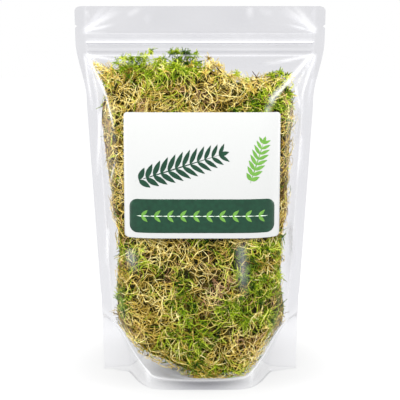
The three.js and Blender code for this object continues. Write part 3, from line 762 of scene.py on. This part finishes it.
def pathsOnFilm(rng, x, z, side, offset, length, curl, depth, dive, count, shake):
    # curves that follow the lie of the pile in the layer behind the film, and dive in at both ends
    n = len(x)
    step = length / (count - 1)
    px, pz = [x], [z]
    wander = np.zeros(n)
    for _ in range(count - 1):
        wander = wander + curl * step + rng.normal(0, shake, n)
        heading = flowAngle(px[-1], pz[-1], side) + offset + wander
        px.append(px[-1] + np.cos(heading) * step)
        pz.append(pz[-1] + np.sin(heading) * step)
    px, pz = np.stack(px, 1), np.stack(pz, 1)
    left, right = mossEnds(pz, side[:, None])
    over = np.maximum.reduce([left + 1 - px, px - right + 1, 11.5 - pz, pz - mossTop(px) - 1])
    fits = over.max(1) < rng.uniform(0.5, 4.5, n)
    px, pz, side, depth, dive = (v[fits] for v in (px, pz, side[:, None], depth[:, None], dive[:, None]))
    below = depth + dive * (1 - np.sin(math.pi * np.linspace(0, 1, count)[None])) ** 1.5
    wall = wallDepth(px, pz)
    return np.stack([px, side * np.maximum(wall - below, 0.12 * wall), pz], -1), fits


def tubes(rng, paths, radii, sides=3):
    n, k, _ = paths.shape
    tangent = unit(np.gradient(paths, axis=1))
    aside = unit(np.cross(tangent, unit(rng.normal(0, 1, (n, 1, 3)))))
    over = np.cross(tangent, aside)
    angles = (np.arange(sides) * 2 * math.pi / sides)[None, None, :, None]
    ring = radii[..., None, None] * (np.cos(angles) * aside[:, :, None] + np.sin(angles) * over[:, :, None])
    verts = (paths[:, :, None] + ring).reshape(n, k * sides, 3)
    local = []
    for i in range(k - 1):
        for j in range(sides):
            a, b = i * sides + j, i * sides + (j + 1) % sides
            local += [(a, b, b + sides), (a, b + sides, a + sides)]
    last = (k - 1) * sides
    for j in range(1, sides - 1):
        local += [(0, j + 1, j), (last, last + j, last + j + 1)]
    return verts, np.array(local)


def spindle(k, thinning=0.6):  # a strand's thickness along its length: full in the middle, thin at both ends
    return (1 - thinning * np.abs(np.linspace(-1, 1, k)) ** 3)[None]


bunches = []
mossTone = {"lift": 0.045, "cloudy": 0.14, "lowGreen": 0.08, "low": 0.03, "filmGap": 0.95, "restGap": 0.4}


def addBunch(verts, local, tint, kind, roots):
    # strands of one kind, which belong to the tuft nearest to their roots
    middles = np.array([m for _, m in tufts], float)
    nearest = np.argmin(np.linalg.norm(roots[:, None] - middles[None], axis=-1), axis=1)
    lift = np.maximum(0, sealLine(verts[..., 0]) + mossTone["restGap"] - verts[..., 2]).max(1)
    verts[..., 2] += lift[:, None]  # strands rest on the gusset
    room = roomInside(verts[..., 0], verts[..., 2], mossTone["filmGap"], 0.05)
    verts[..., 1] = np.clip(verts[..., 1], -room, room)  # and stay inside the film
    x, y, z = roots[:, :1], roots[:, 1:2], roots[:, 2:3]
    cloudy = np.sin(x / 11 + 1.7 * np.sin(z / 17) + 0.04 * y) * np.sin(z / 9.5 + 1.3 * np.sin(x / 19) + 1.1)
    low = mossTone["lowGreen" if kind == "green" else "low"] * fadeOut(z, 170, 250)
    for px, pz, rx, rz, change in tonePatches:
        low = low - change * np.exp(-(((x - px) / rx) ** 2) - ((z - pz) / rz) ** 2) * (y < 4)
    tint = np.clip(tint + mossTone["cloudy"] * cloudy + mossTone["lift"] - low, 0, 1)
    bunches.append({"verts": verts, "faces": local, "tint": tint, "kind": kind, "tuft": nearest})


def addEven(verts, local, tone, kind, roots, chosen=slice(None)):  # each strand has one tone all along
    addBunch(verts[chosen], local, np.repeat(tone[chosen, None], verts.shape[1], 1), kind, roots[chosen])


strands = {
    "straw": 7150, "green": 2150, "brown": 1450, "rim": 2450, "side": 2000, "points": 5,
    "radius": (0.15, 0.38), "length": (6, 24), "curlRadius": (4, 20), "turn": 0.85, "shake": 0.34,
    # how far behind the film the layer starts, how thick it is, and how far the ends dive in
    "nearest": 1.4, "layer": 7.3, "dive": (0.5, 4),
    "tone": (0.71, 0.24), "depthShade": 0.065,  # middle and spread, and painted shade: how much it falls with each mm of depth
}
strandChance = {
    "straw": lambda green, brown: (1 - 0.75 * green) * (1 - 0.62 * brown),
    "green": lambda green, brown: 0.03 + 0.97 * green,
    "brown": lambda green, brown: 0.02 + 0.98 * brown,
}


def growStrands(rng, kind, count):
    x, z, side = pickPlaces(rng, count, 4, strandChance[kind])
    n, k = len(x), strands["points"]
    length = rng.uniform(*strands["length"], n)
    curl = rng.normal(0, 1, n) / rng.uniform(*strands["curlRadius"], n)
    depth = strands["nearest"] + strands["layer"] * rng.uniform(0, 1, n) ** 1.3
    offset, dive = rng.normal(0, strands["turn"], n), rng.uniform(*strands["dive"], n)
    paths, fits = pathsOnFilm(rng, x, z, side, offset, length, curl, depth, dive, k, strands["shake"])
    n, depth = len(paths), depth[fits]
    radius = rng.uniform(*strands["radius"], n)
    verts, local = tubes(rng, paths, radius[:, None] * spindle(k))
    # painted shade: strands lying deeper behind the film are darker
    tone = np.clip(rng.normal(*strands["tone"], n) - strands["depthShade"] * (depth - 3), 0, 1)
    along = 0.12 * np.sin(np.linspace(0, 5, k))[None] + rng.normal(0, 0.06, (n, k))
    addBunch(verts, local, np.clip(np.repeat(tone[:, None] + along, 3, 1), 0, 1), kind, paths[:, k // 2])
    return n


sprigs = {
    "green": 1430, "straw": 1270, "points": 5, "length": (8, 20), "stemRadius": 0.34, "turn": 1.1,
    "bend": 0.04, "shake": 0.18, "nearest": 1.5, "layer": 4.2, "dive": (0.5, 2.5),
    "leaves": 13, "leafLength": (2.0, 4.4), "leafWidth": 0.95, "tipTone": 0.24,
    "tone": (0.55, 0.26), "depthShade": 0.02, "stemTone": 0.12,
    "strawTone": 0.06, "strawLeaves": (0.75, 0.8),  # straw sprigs: lighter, with shorter and narrower leaves
}
sprigChance = {
    "green": lambda green, brown: 0.03 + 0.97 * green,
    "straw": lambda green, brown: 1 - 0.85 * green,
}


def leafSpikes(rng, stems, leaves, leafLength, width):
    # small closed pointed leaves that stand out of both sides of each stem
    n, k, _ = stems.shape
    tangent = unit(np.gradient(stems, axis=1))
    at = np.linspace(0.05, 0.98, leaves)
    where = at * (k - 1)
    low = np.minimum(where.astype(int), k - 2)
    share = (where - low)[None, :, None]
    base = stems[:, low] * (1 - share) + stems[:, low + 1] * share
    along = unit(tangent[:, low] * (1 - share) + tangent[:, low + 1] * share)
    aside = unit(np.cross(along, unit(rng.normal(0, 1, (n, 1, 3)) * np.array([0.35, 1, 0.35]))))
    over = np.cross(along, aside)
    turn = np.where(np.arange(leaves) % 2 == 0, 0.0, math.pi)[None] + rng.normal(0, 0.55, (n, leaves))
    out = np.cos(turn)[..., None] * aside + np.sin(turn)[..., None] * over
    lean = rng.uniform(0.55, 1.05, (n, leaves))[..., None]
    direction = unit(along * np.cos(lean) + out * np.sin(lean))
    size = leafLength[:, None] * (1 - 0.5 * at[None]) * rng.uniform(0.75, 1.2, (n, leaves))
    flat = unit(np.cross(direction, along))
    thick = np.cross(direction, flat)
    half = width * (0.6 + 0.4 * (1 - at[None]))[..., None] / 2
    base = base - along * 0.2
    tip = base + direction * size[..., None]
    verts = np.stack([base + flat * half, base - flat * half, base + thick * half * 0.6, tip], 2)
    one = np.array([(0, 1, 2), (0, 3, 1), (1, 3, 2), (2, 3, 0)])
    local = (one[None] + (np.arange(leaves) * 4)[:, None, None]).reshape(-1, 3)
    return verts.reshape(n, leaves * 4, 3), local


def leafTones(leaves, tip):  # a leaf's three points at the stem keep the tone, and its tip is lighter
    return np.tile([0.0, 0.0, 0.0, tip], leaves)


def addSprigs(rng, stems, tone, leafScale=1.0, widthScale=1.0, kind="green"):
    n, k = stems.shape[:2]
    roots = stems[:, k // 2]
    thickness = sprigs["stemRadius"] * (1 - 0.6 * np.linspace(0, 1, k))
    verts, local = tubes(rng, stems, thickness[None] * np.ones((n, 1)))
    tone = np.clip(tone, 0, 1)
    addEven(verts, local, np.clip(tone + sprigs["stemTone"], 0, 1), kind, roots)
    size = rng.uniform(*sprigs["leafLength"], n) * leafScale
    verts, local = leafSpikes(rng, stems, sprigs["leaves"], size, sprigs["leafWidth"] * widthScale)
    tones = tone[:, None] + leafTones(sprigs["leaves"], sprigs["tipTone"])[None]
    addBunch(verts, local, np.clip(tones, 0, 1), kind, roots)


def growSprigs(rng, kind, count):
    x, z, side = pickPlaces(rng, count, 4, sprigChance[kind])
    n, k = len(x), sprigs["points"]
    length = rng.uniform(*sprigs["length"], n)
    depth = sprigs["nearest"] + sprigs["layer"] * rng.uniform(0, 1, n) ** 1.2
    offset, curl = rng.normal(0, sprigs["turn"], n), rng.normal(0, sprigs["bend"], n)
    dive = rng.uniform(*sprigs["dive"], n)
    stems, fits = pathsOnFilm(rng, x, z, side, offset, length, curl, depth, dive, k, sprigs["shake"])
    # painted shade: deeper sprigs are a little darker
    tone = rng.normal(*sprigs["tone"], len(stems)) - sprigs["depthShade"] * (depth[fits] - 4)
    if kind == "green":
        addSprigs(rng, stems, tone)
    else:
        addSprigs(rng, stems, tone + sprigs["strawTone"], *sprigs["strawLeaves"], kind)
    return len(stems)


rim = {
    "rows": 13, "aim": (4.0, 110.0), "inset": 12, "length": (4, 13), "reach": 2.5, "leafy": 0.3, "lowest": 11,
    "depth": (1.4, 10), "tone": (0.66, 0.2), "depthShade": 0.05,
}


def growRimStrands(rng, count):  # a fringe of short strands at every angle along the pile's lower outline
    heights, lefts, rights = (v[:rim["rows"]] for v in columns(mossReach))
    outline = np.concatenate([np.stack([lefts, heights], -1)[::-1], np.stack([rights, heights], -1)])
    run = np.concatenate([[0], np.hypot(*np.diff(outline, axis=0).T).cumsum()])
    k = strands["points"]
    at = run[-1] * (0.5 + 0.5 * rng.uniform(-1, 1, (count, 1)) ** 3)
    edge = np.stack([np.interp(at, run, outline[:, i]) for i in (0, 1)], -1)
    inward = unit(np.array(rim["aim"]) - edge)
    start = edge + inward * rng.uniform(0, rim["inset"], (count, 1, 1))
    step = rng.uniform(*rim["length"], (count, 1)) / (k - 1)
    heading = rng.uniform(0, 2 * math.pi, (count, 1)) + rng.normal(0, 0.45, (count, k)).cumsum(1)
    places = start + (np.stack([np.cos(heading), np.sin(heading)], -1) * step[..., None]).cumsum(1)
    over = np.maximum(0, -((places - edge) * inward).sum(-1, keepdims=True) - rim["reach"])
    places = places + 1.6 * over * inward
    px, pz = places[..., 0], np.maximum(places[..., 1], rim["lowest"])
    side = rng.choice([-1.0, 1.0], (count, 1))
    depth = rng.uniform(*rim["depth"], (count, 1)) + 2 * (1 - np.sin(math.pi * np.linspace(0, 1, k)[None]))
    wall = wallDepth(px, pz)
    paths = np.stack([px * np.where(side < 0, 1, -1), side * np.maximum(wall - depth, 0.1 * wall), pz], -1)
    verts, local = tubes(rng, paths, rng.uniform(*strands["radius"], (count, 1)) * spindle(k))
    # painted shade: rim strands lying deeper are darker
    tone = np.clip(rng.normal(*rim["tone"], count) - rim["depthShade"] * (depth[:, 0] - 3), 0, 1)
    leafy = rng.uniform(0, 1, count) < rim["leafy"]
    for kind, chosen in (("green", leafy), ("straw", ~leafy)):
        addEven(verts, local, tone, kind, paths[:, k // 2], chosen)


sides = {
    "heights": (50, 290), "lowest": 46, "highest": 300, "topAt": 84, "shorter": 0.8,
    "tone": (0.58, 0.24), "depthShade": 0.05, "oldShare": 0.3, "sprigEvery": 8,
}


def growSideStrands(rng, count):  # the pile's two narrow sides, between its front and its back
    z = rng.uniform(*sides["heights"], count)
    end = rng.choice([-1.0, 1.0], count)
    length = rng.uniform(*strands["length"], count) * sides["shorter"]
    k = strands["points"]
    step = (length / (k - 1))[:, None]
    heading = rng.uniform(0, 2 * math.pi, (count, 1)) + rng.normal(0, 0.4, (count, k)).cumsum(1)
    pz = z[:, None] + (np.sin(heading) * step).cumsum(1)
    roof = mossTop(end * sides["topAt"])[:, None] - rng.uniform(0, 12, (count, 1))
    pz = np.clip(np.minimum(pz, 2 * roof - pz), sides["lowest"], sides["highest"])
    left, right = mossEnds(pz, -1)
    edge = np.where(end[:, None] < 0, -left, right)
    room = wallDepth(edge - 7, pz) - 2
    lane = rng.uniform(-1, 1, (count, 1)) + (np.cos(heading) * step).cumsum(1) / np.maximum(room, 4)
    t = np.linspace(0, 1, k)[None]
    depth = 4 * rng.uniform(0, 1, (count, 1)) ** 1.3 + 3 * (1 - np.sin(math.pi * t)) ** 1.5
    x = end[:, None] * (edge - 0.6 - depth - 5 * np.clip(np.abs(lane), 0, 1) ** 3)
    paths = np.stack([x, np.clip(lane, -1, 1) * room, pz], -1)
    verts, local = tubes(rng, paths, rng.uniform(*strands["radius"], count)[:, None] * spindle(k))
    # painted shade: strands lying further in are darker
    tone = np.clip(rng.normal(*sides["tone"], count) - sides["depthShade"] * depth[:, 3], 0, 1)
    greenShare = 0.1 + 0.6 * smoothStep(np.sin(z / 19 + 2 * end), -0.2, 0.6)
    leafy = rng.uniform(0, 1, count) < greenShare * (1 - 0.85 * band(z, 140, 165, 258, 272))
    old = ~leafy & (rng.uniform(0, 1, count) < sides["oldShare"])
    for kind, chosen in (("green", leafy), ("brown", old), ("straw", ~leafy & ~old)):
        addEven(verts, local, tone, kind, paths[:, k // 2], chosen)
    few = np.flatnonzero(leafy)[:count // sides["sprigEvery"]]
    addSprigs(rng, paths[few], rng.normal(0.5, 0.2, len(few)))


heads = {
    "crown": 70, "body": 260, "branches": 9, "branchLength": (3.5, 8), "stem": 0.55, "points": 4,
    "leaves": 8, "leafLength": (1.3, 2.5), "leafWidth": 1.2, "tipTone": 0.22, "outward": 0.14,
}


def growHeads(rng, x, y, z, tone, scale=1.0, kind="green"):
    # leafy star-shaped heads: short bent branches round the tip of a stem, darker in the middle
    n, b, k = len(x), heads["branches"], heads["points"]
    scale = scale * np.ones(n)
    centre = np.stack([x, y, z], -1)
    turn = rng.uniform(0, 2 * math.pi, (n, 1)) + np.arange(b)[None] * 2 * math.pi / b
    turn = turn + rng.normal(0, 0.25, (n, b))
    out = unit(np.stack([np.cos(turn), rng.normal(0, 0.45, (n, b)), np.sin(turn) + 0.35], -1))[:, :, None]
    length = (rng.uniform(*heads["branchLength"], (n, b)) * scale[:, None])[..., None]
    t = np.linspace(0, 1, k)
    bend = (rng.normal(0, 1, (n, b, 3)) * 0.25 + np.array([0, 0, -0.3]))[:, :, None]
    paths = centre[:, None, None] + out * (length * t)[..., None] + bend * (length * t ** 2)[..., None]
    paths = paths.reshape(n * b, k, 3)
    room = roomInside(paths[..., 0], paths[..., 2], 0.9, 0.1)
    paths[..., 1] = np.clip(paths[..., 1], -room, room)
    paths[..., 2] = np.minimum(paths[..., 2], crown["top"] + 0.8)
    tone = np.clip(np.repeat(tone, b) + rng.normal(0, 0.1, n * b), 0, 1)[:, None]
    verts, local = tubes(rng, paths, heads["stem"] * (1 - 0.55 * t)[None] * np.ones((n * b, 1)))
    roots = np.repeat(centre, b, 0)
    outward = np.repeat(np.linspace(-heads["outward"], heads["outward"], k), 3)[None]
    addBunch(verts, local, np.clip(tone + outward, 0, 1), kind, roots)
    size = rng.uniform(*heads["leafLength"], n * b) * np.repeat(scale, b)
    verts, local = leafSpikes(rng, paths, heads["leaves"], size, heads["leafWidth"])
    outward = np.repeat(np.linspace(-heads["outward"], heads["outward"], heads["leaves"]), 4)
    tips = leafTones(heads["leaves"], heads["tipTone"]) + outward
    addBunch(verts, local, np.clip(tone + tips[None], 0, 1), kind, roots)


def growBodyHeads(rng, count):
    x, z, side = pickPlaces(rng, count, 12, lambda green, brown: green ** 2)
    y = side * roomInside(x, z, rng.uniform(2.5, 5, len(x)), 0.5)
    growHeads(rng, x, y, z, rng.normal(0.52, 0.16, len(x)))


crown = {"green": 60, "straw": 190, "top": 318.5, "lanes": (-0.85, 0.1, 0.8)}
tallSprigs = [  # x and z of root, x and z of tip, leaf scale: the sprigs that rise into the empty neck
    (-66, 293, -78, 306, 1.0), (-52, 301, -46.5, 316, 0.9), (-24, 302, -23.5, 317, 1.0),
    (-20, 303, -17.5, 318, 1.0), (-16, 302, -10, 317, 1.0), (-12, 303, -3, 315, 1.0),
    (-44, 298, -37.5, 311, 1.0), (-72, 288, -86, 298, 0.9), (78, 284, 84, 296, 0.9),
    (72, 286, 74, 298, 0.9),
]
crownHeads = [  # x, z, size, tone of each leafy head in the crown
    (-77, 305, 0.8, 0.6), (-70, 308, 0.9, 0.66), (-63, 309, 0.9, 0.56), (-57, 310, 0.8, 0.5),
    (-50, 311.5, 0.85, 0.62), (-46, 315, 0.6, 0.58), (-41, 304, 0.9, 0.5), (-37.5, 309, 0.7, 0.44),
    (-33, 303, 0.9, 0.66), (-72, 300, 0.9, 0.46), (-62, 301, 1.0, 0.62), (-53, 301, 1.0, 0.42),
    (-48, 296, 1.0, 0.66), (-58, 293, 0.9, 0.36), (-27, 313, 0.8, 0.36), (-21, 315.5, 0.8, 0.4),
    (-15, 314, 0.8, 0.4), (-9.5, 311, 0.8, 0.52), (-4, 312, 0.6, 0.46), (-19, 308, 0.9, 0.56),
    (-11.5, 304, 0.9, 0.48), (-4, 304, 0.9, 0.6), (-24, 301, 1.0, 0.66), (-31, 298, 0.9, 0.56),
    (-14, 297, 0.9, 0.7), (-4, 296, 0.8, 0.62), (67, 293, 0.8, 0.6), (74, 296, 0.8, 0.6),
    (80, 292, 0.7, 0.5), (72, 286, 0.9, 0.5), (80, 272, 0.9, 0.26), (85, 276, 0.8, 0.24),
    (78, 266, 0.9, 0.34), (60, 280, 0.9, 0.56), (65, 272, 0.9, 0.42), (56, 275, 0.9, 0.62),
    (35, 294, 0.7, 0.8), (43, 290, 0.7, 0.7),
]
strawHeads = [
    (8, 301, 0.8, 0.66), (12.5, 305, 0.8, 0.74), (17, 303, 0.7, 0.7), (20, 297, 0.8, 0.6),
    (4, 296, 0.8, 0.6), (53, 289, 0.8, 0.6), (83, 292, 0.6, 0.62), (-88, 292, 0.8, 0.62),
    (-82, 286, 0.8, 0.5), (-92, 300, 0.6, 0.6), (-95, 303, 0.45, 0.66), (-86, 297, 0.8, 0.5),
    (-77, 292, 0.8, 0.6), (28, 292, 0.8, 0.58), (46, 284, 0.9, 0.62), (10, 288, 0.9, 0.72),
]
strawTips = [  # x and z of root, x and z of tip
    (6, 296, 12, 309), (10, 297, 17, 306), (14, 296, 21, 305), (8, 298, 9, 308), (16, 294, 23, 301),
    (74, 288, 77, 298), (62, 289, 60, 296), (-94, 294, -98, 305), (-91, 292, -95, 302),
    (-96, 296, -99, 307), (-86, 292, -90, 303),
]


def raiseStems(rng, x, z, tipX, tipZ, kind, scale=1.0):
    n = len(x)
    t = np.linspace(0, 1, 6)[None]
    bow = rng.normal(0, 1.5, (n, 1)) * np.sin(math.pi * t)
    px = lerp(x[:, None], tipX[:, None], t) + bow
    pz = np.minimum(lerp(z[:, None], np.minimum(tipZ, crown["top"])[:, None], t ** 0.9), crown["top"])
    half = innerHalf(pz) - 3
    px = np.clip(px, -half, half)
    lane = rng.uniform(-0.9, 0.9, (n, 1))
    stems = np.stack([px, lane * roomInside(px, pz, 1.2, 0.1), pz], -1)
    if kind == "green":
        addSprigs(rng, stems, rng.normal(0.6, 0.2, n), scale * 1.1, 1.2)
        return
    verts, local = tubes(rng, stems, (0.5 * (1 - 0.6 * t)) * np.ones((n, 1)))
    addEven(verts, local, np.clip(rng.normal(0.72, 0.14, n), 0, 1), kind, stems[:, 2])


def growCrown(rng):  # what stands up out of the pile's top
    for kind in ("green", "straw"):
        count = crown[kind]
        x = rng.uniform(-90, 86, count * 3)
        leafy = np.exp(-(((x + 36) / 36) ** 4)) + 0.5 * bell(x, 76, 12)
        keep = rng.uniform(0, 1, len(x)) < (leafy if kind == "green" else 1.05 - leafy)
        x = x[keep][:count]
        n = len(x)
        z = mossTop(x) - rng.uniform(3, 14, n)
        lean, length = rng.normal(0, 0.8, n), rng.uniform(6, 11, n)
        raiseStems(rng, x, z, x + np.sin(lean) * length, z + np.cos(lean) * length, kind, 0.8)
    x, z, tipX, tipZ, scale = columns(tallSprigs)
    for turn in range(2):
        spread = rng.normal(0, 1.6, (2, len(x)))
        tip = tipX + 0.8 * spread[1] * turn, tipZ - rng.uniform(0, 3, len(x)) * turn
        raiseStems(rng, x + spread[0], z - 3, *tip, "green", scale)
    for kind, places in (("green", crownHeads), ("straw", strawHeads)):
        x, z, scale, tone = columns(places)
        for layer, lane in enumerate(crown["lanes"]):  # one in front, one in the middle, one at the back
            shift = rng.normal(0, 1.5 * (layer > 0), (2, len(x)))
            y = roomInside(x, z, 2.5, 0.3) * lane
            # painted shade: each layer further back is a little darker
            tones = np.clip(tone + 0.1 + rng.normal(0, 0.14, len(x)) - 0.06 * layer, 0, 1)
            growHeads(rng, x + shift[0], y, z + shift[1], tones, scale, kind)
    x = rng.uniform(-82, 2, heads["crown"])
    z = mossTop(x) + rng.uniform(-12, -2, len(x))
    y = rng.uniform(-1, 0.6, len(x)) * roomInside(x, z, 3, 0.3)
    tone = rng.normal(0.64, 0.2, len(x))
    leafy = rng.uniform(0, 1, len(x)) < 0.75
    for kind, chosen in (("green", leafy), ("straw", ~leafy)):
        growHeads(rng, x[chosen], y[chosen], z[chosen], tone[chosen], 1.0, kind)
    x, z, tipX, tipZ = columns(strawTips)
    for turn in range(3):
        spread = rng.normal(0, 1.4, (2, len(x)))
        tip = tipX + spread[1] * turn * 0.7, tipZ - rng.uniform(0, 3, len(x)) * turn
        raiseStems(rng, x + spread[0], z - 4, *tip, "straw")


twigs = [  # x, z, heading, length, depth of each dark twig: the first two stand clear of the pile
    (54, 288, 2.1, 11, 3), (20, 296, 2.3, 9, 3), (68, 92, 0.35, 9, 0.9), (-30, 262, 0.8, 12, 2),
    (12, 285, 2.6, 11, 2), (8, 58, 0.2, 12, 2), (-58, 104, 1.1, 11, 2), (36, 120, 2.0, 12, 2.4),
    (-44, 80, 2.4, 10, 2.2),
]


def growTwigs(rng):
    x, z, heading, length, depth = (v[:, None] for v in columns(twigs))
    n = len(x)
    t = np.linspace(0, 1, 6)[None]
    for side in (-1.0, 1.0):
        px = side * -1 * x + np.cos(heading) * length * t + rng.normal(0, 0.4, (n, 6))
        pz = z + np.sin(heading) * length * t
        stems = np.stack([px, side * roomInside(px, pz, depth, 0.3), pz], -1)
        verts, local = tubes(rng, stems, np.full((n, 6), 0.7) * (1 - 0.5 * t))
        addEven(verts, local, np.full(n, 0.03), "brown", stems[:, 0])


def growMoss(rng, thin):
    made = sum(growStrands(rng, kind, int(strands[kind] * thin)) for kind in ("straw", "green", "brown"))
    leafy = sum(growSprigs(rng, kind, int(sprigs[kind] * thin)) for kind in ("green", "straw"))
    growRimStrands(rng, int(strands["rim"] * thin))
    growSideStrands(rng, int(strands["side"] * thin))
    growBodyHeads(rng, int(heads["body"] * thin))
    growCrown(rng)
    growTwigs(rng)
    print("moss grown:", made, "strands,", leafy, "sprigs")


growMoss(np.random.default_rng(7), 1.0)


def buildTufts():
    total = 0
    for number, (node, _) in enumerate(tufts):
        verts, tris, tints, kinds, start = [], [], [], [], 0
        for bunch in bunches:
            own = np.flatnonzero(bunch["tuft"] == number)
            if not len(own):
                continue
            per = bunch["verts"].shape[1]
            verts.append(bunch["verts"][own].reshape(-1, 3))
            tints.append(bunch["tint"][own].reshape(-1))
            shift = (np.arange(len(own)) * per)[:, None, None] + start
            tris.append((bunch["faces"][None] + shift).reshape(-1, 3))
            kinds.append(np.full(len(tris[-1]), list(strandMaterials).index(bunch["kind"])))
            start += len(own) * per
        verts, tris, tints, kinds = (np.concatenate(v) for v in (verts, tris, tints, kinds))
        name, materials = node.replace("moss_", "tuft_"), list(strandMaterials.values())
        piece = makeMesh(name, verts, tris, materials, kinds, attributes={"tint": tints})
        fitPiece(piece, "moss_green" if "green" in node else "moss_straw", node)
        total += len(tris)
    print("tufts:", total, "triangles")


buildTufts()

core = {"low": 9.8, "high": 304, "behindFilm": 7.5, "columns": 47, "rows": 67}


def buildCore():  # the shaded heart behind the strands
    u, v = np.meshgrid(np.linspace(0, 1, core["columns"]), np.linspace(0, 1, core["rows"]))
    z = lerp(core["low"], core["high"], v)
    left, right = mossEnds(z, -1)
    inset = 1.2 + 5 * smoothStep(z, 276, 296)
    x = lerp(left + inset, right - inset, u)
    z = np.minimum(z, mossTop(x) - 5)
    edge = np.minimum(np.minimum(u, 1 - u) * 22 - 0.35, np.minimum(v * 90, (1 - v) * 34))
    faces = []
    for side in (-1, 1):
        bump = 1.4 * np.sin(x / 4.7 + 2 * np.sin(z / 8.3)) * np.sin(z / 5.1 + side)
        bump += 0.8 * np.sin(x / 2.3) * np.sin(z / 2.1)
        depth = (wallDepth(x, z) - core["behindFilm"]) * smoothStep(edge, 0, 1) - bump
        faces.append(np.stack([x, side * np.maximum(depth, 1.2 + 0.4 * np.abs(bump)), z], -1))
    tint = 0.5 + 0.5 * np.sin(x / 3.1) * np.sin(z / 3.7)
    fitPiece(gridShell("moss_core", *faces, [coreMaterial], {"tint": tint}), "moss_straw")


buildCore()
print("core made")

# floor, light, camera
floorLook = {
    "half": 4000, "height": -0.05, "paint": (96, 100), "noise": 3, "glow": 0.9,
    # each pool of painted shadow: reach across, reach in depth, how far back its middle is, how much darker
    "wideShadow": (0.19, 0.12, 0.012, 0.2),
    "nearShadow": (0.068, 0.058, 0.0, 0.42),
}


def buildShadowPoolGroup():  # a soft round mask for painted shadow, 1 in the middle and 0 at its reach
    inputs = {"Scale": "NodeSocketVector", "Shift": "NodeSocketVector", "Strength": "NodeSocketFloat"}
    group, start, end = newGroup("paintedShadowPool", inputs, {"Value": "NodeSocketFloat"})
    place = group.nodes.new("ShaderNodeTexCoord").outputs["Object"]
    scaled = mathOf(group, "MULTIPLY_ADD", place, start["Scale"], start["Shift"], kind="ShaderNodeVectorMath")
    length = mathOf(group, "LENGTH", scaled.outputs["Vector"], kind="ShaderNodeVectorMath").outputs["Value"]
    fall = group.nodes.new("ShaderNodeMapRange")
    fall.interpolation_type = "SMOOTHSTEP"
    feed(group, fall, {"Value": length, "From Min": 1, "From Max": 0.35, "To Max": start["Strength"]})
    feed(group, end, {"Value": fall.outputs["Result"]})
    return group


def paleFloor():  # gives out its own even soft light, less of it in two pools of painted shadow round the object's foot
    material, tree, shader = newMaterial("paleFloor")
    noise = addNode(tree, "ShaderNodeTexNoise", {"Scale": floorLook["noise"]}).outputs["Fac"]
    low, high = ((shade,) * 3 for shade in floorLook["paint"])
    glow, shadowPoolGroup = floorLook["glow"], buildShadowPoolGroup()
    for key in ("wideShadow", "nearShadow"):
        across, deep, back, strength = floorLook[key]
        shape = {"Scale": (1 / across, 1 / deep, 0), "Shift": (0, -back / deep, 0), "Strength": strength}
        paintedShadow = groupOf(tree, shadowPoolGroup, shape).outputs["Value"]
        glow = mathOf(tree, "SUBTRACT", glow, paintedShadow).outputs["Value"]
    feed(tree, shader, {
        "Base Color": rampOf(tree, noise, [(0.0, low), (1.0, high)]), "Roughness": 0.6,
        "Specular IOR Level": 0.2, "Emission Color": (1, 1, 1, 1), "Emission Strength": glow})
    return material


def buildFloor():
    half, height = floorLook["half"], floorLook["height"]
    corners = [(x * half, y * half, height) for x, y in ((-1, -1), (1, -1), (1, 1), (-1, 1))]
    floor = makeMesh("floor", corners, [(0, 1, 2), (0, 2, 3)], [paleFloor()])
    floor.visible_glossy = False


studio = {"seen": 1.0, "mirrored": 0.75, "ambient": 0.55, "aim": (0, 0, 0.17)}
lights = {
    "leftStrip": {"at": (-0.8, -0.25, 0.45), "size": (0.12, 0.8), "power": 5, "mirrored": True},
    "rightStrip": {"at": (0.85, -0.2, 0.5), "size": (0.12, 0.8), "power": 5.5, "mirrored": True},
    "keySoft": {"at": (-0.03, -0.55, 0.85), "size": (0.6, 0.45), "power": 9.1, "mirrored": False},
}


def aimAt(thing, place, target):
    thing.location = place
    thing.rotation_euler = (Vector(target) - Vector(place)).to_track_quat("-Z", "Y").to_euler()
    scene.collection.objects.link(thing)


def buildStudio():
    world = bpy.data.worlds.new("studio")
    scene.world = world
    world.use_nodes = True
    tree = world.node_tree
    rays = tree.nodes.new("ShaderNodeLightPath").outputs
    glossy = mixOf(tree, rays["Is Glossy Ray"], studio["ambient"], studio["mirrored"], "FLOAT")
    seen = mixOf(tree, rays["Is Camera Ray"], glossy, studio["seen"], "FLOAT")
    feed(tree, tree.nodes["Background"], {"Color": (1, 1, 1, 1), "Strength": seen})
    for name, spec in lights.items():
        data = bpy.data.lights.new(name, "AREA")
        data.shape = "RECTANGLE"
        data.size, data.size_y = spec["size"]
        data.energy = spec["power"]
        lamp = bpy.data.objects.new(name, data)
        lamp.visible_glossy = spec["mirrored"]
        aimAt(lamp, spec["at"], studio["aim"])


cameraView = {"aim": (0, 0, 0.1744), "distance": 0.796, "elevation": 12.5, "sensor": 36, "zoom": 827.6 / 400}


def buildCamera():
    data = bpy.data.cameras.new("camera")
    data.sensor_width = cameraView["sensor"]
    data.lens = cameraView["sensor"] * cameraView["zoom"]
    camera = bpy.data.objects.new("camera", data)
    tilt = math.radians(cameraView["elevation"])
    away = Vector((0, -math.cos(tilt), math.sin(tilt))) * cameraView["distance"]
    aimAt(camera, Vector(cameraView["aim"]) + away, cameraView["aim"])
    return camera


buildFloor()
buildStudio()
scene.camera = buildCamera()
scene.view_settings.view_transform = "Standard"
scene.cycles.transparent_max_bounces = 32
print("stage set")
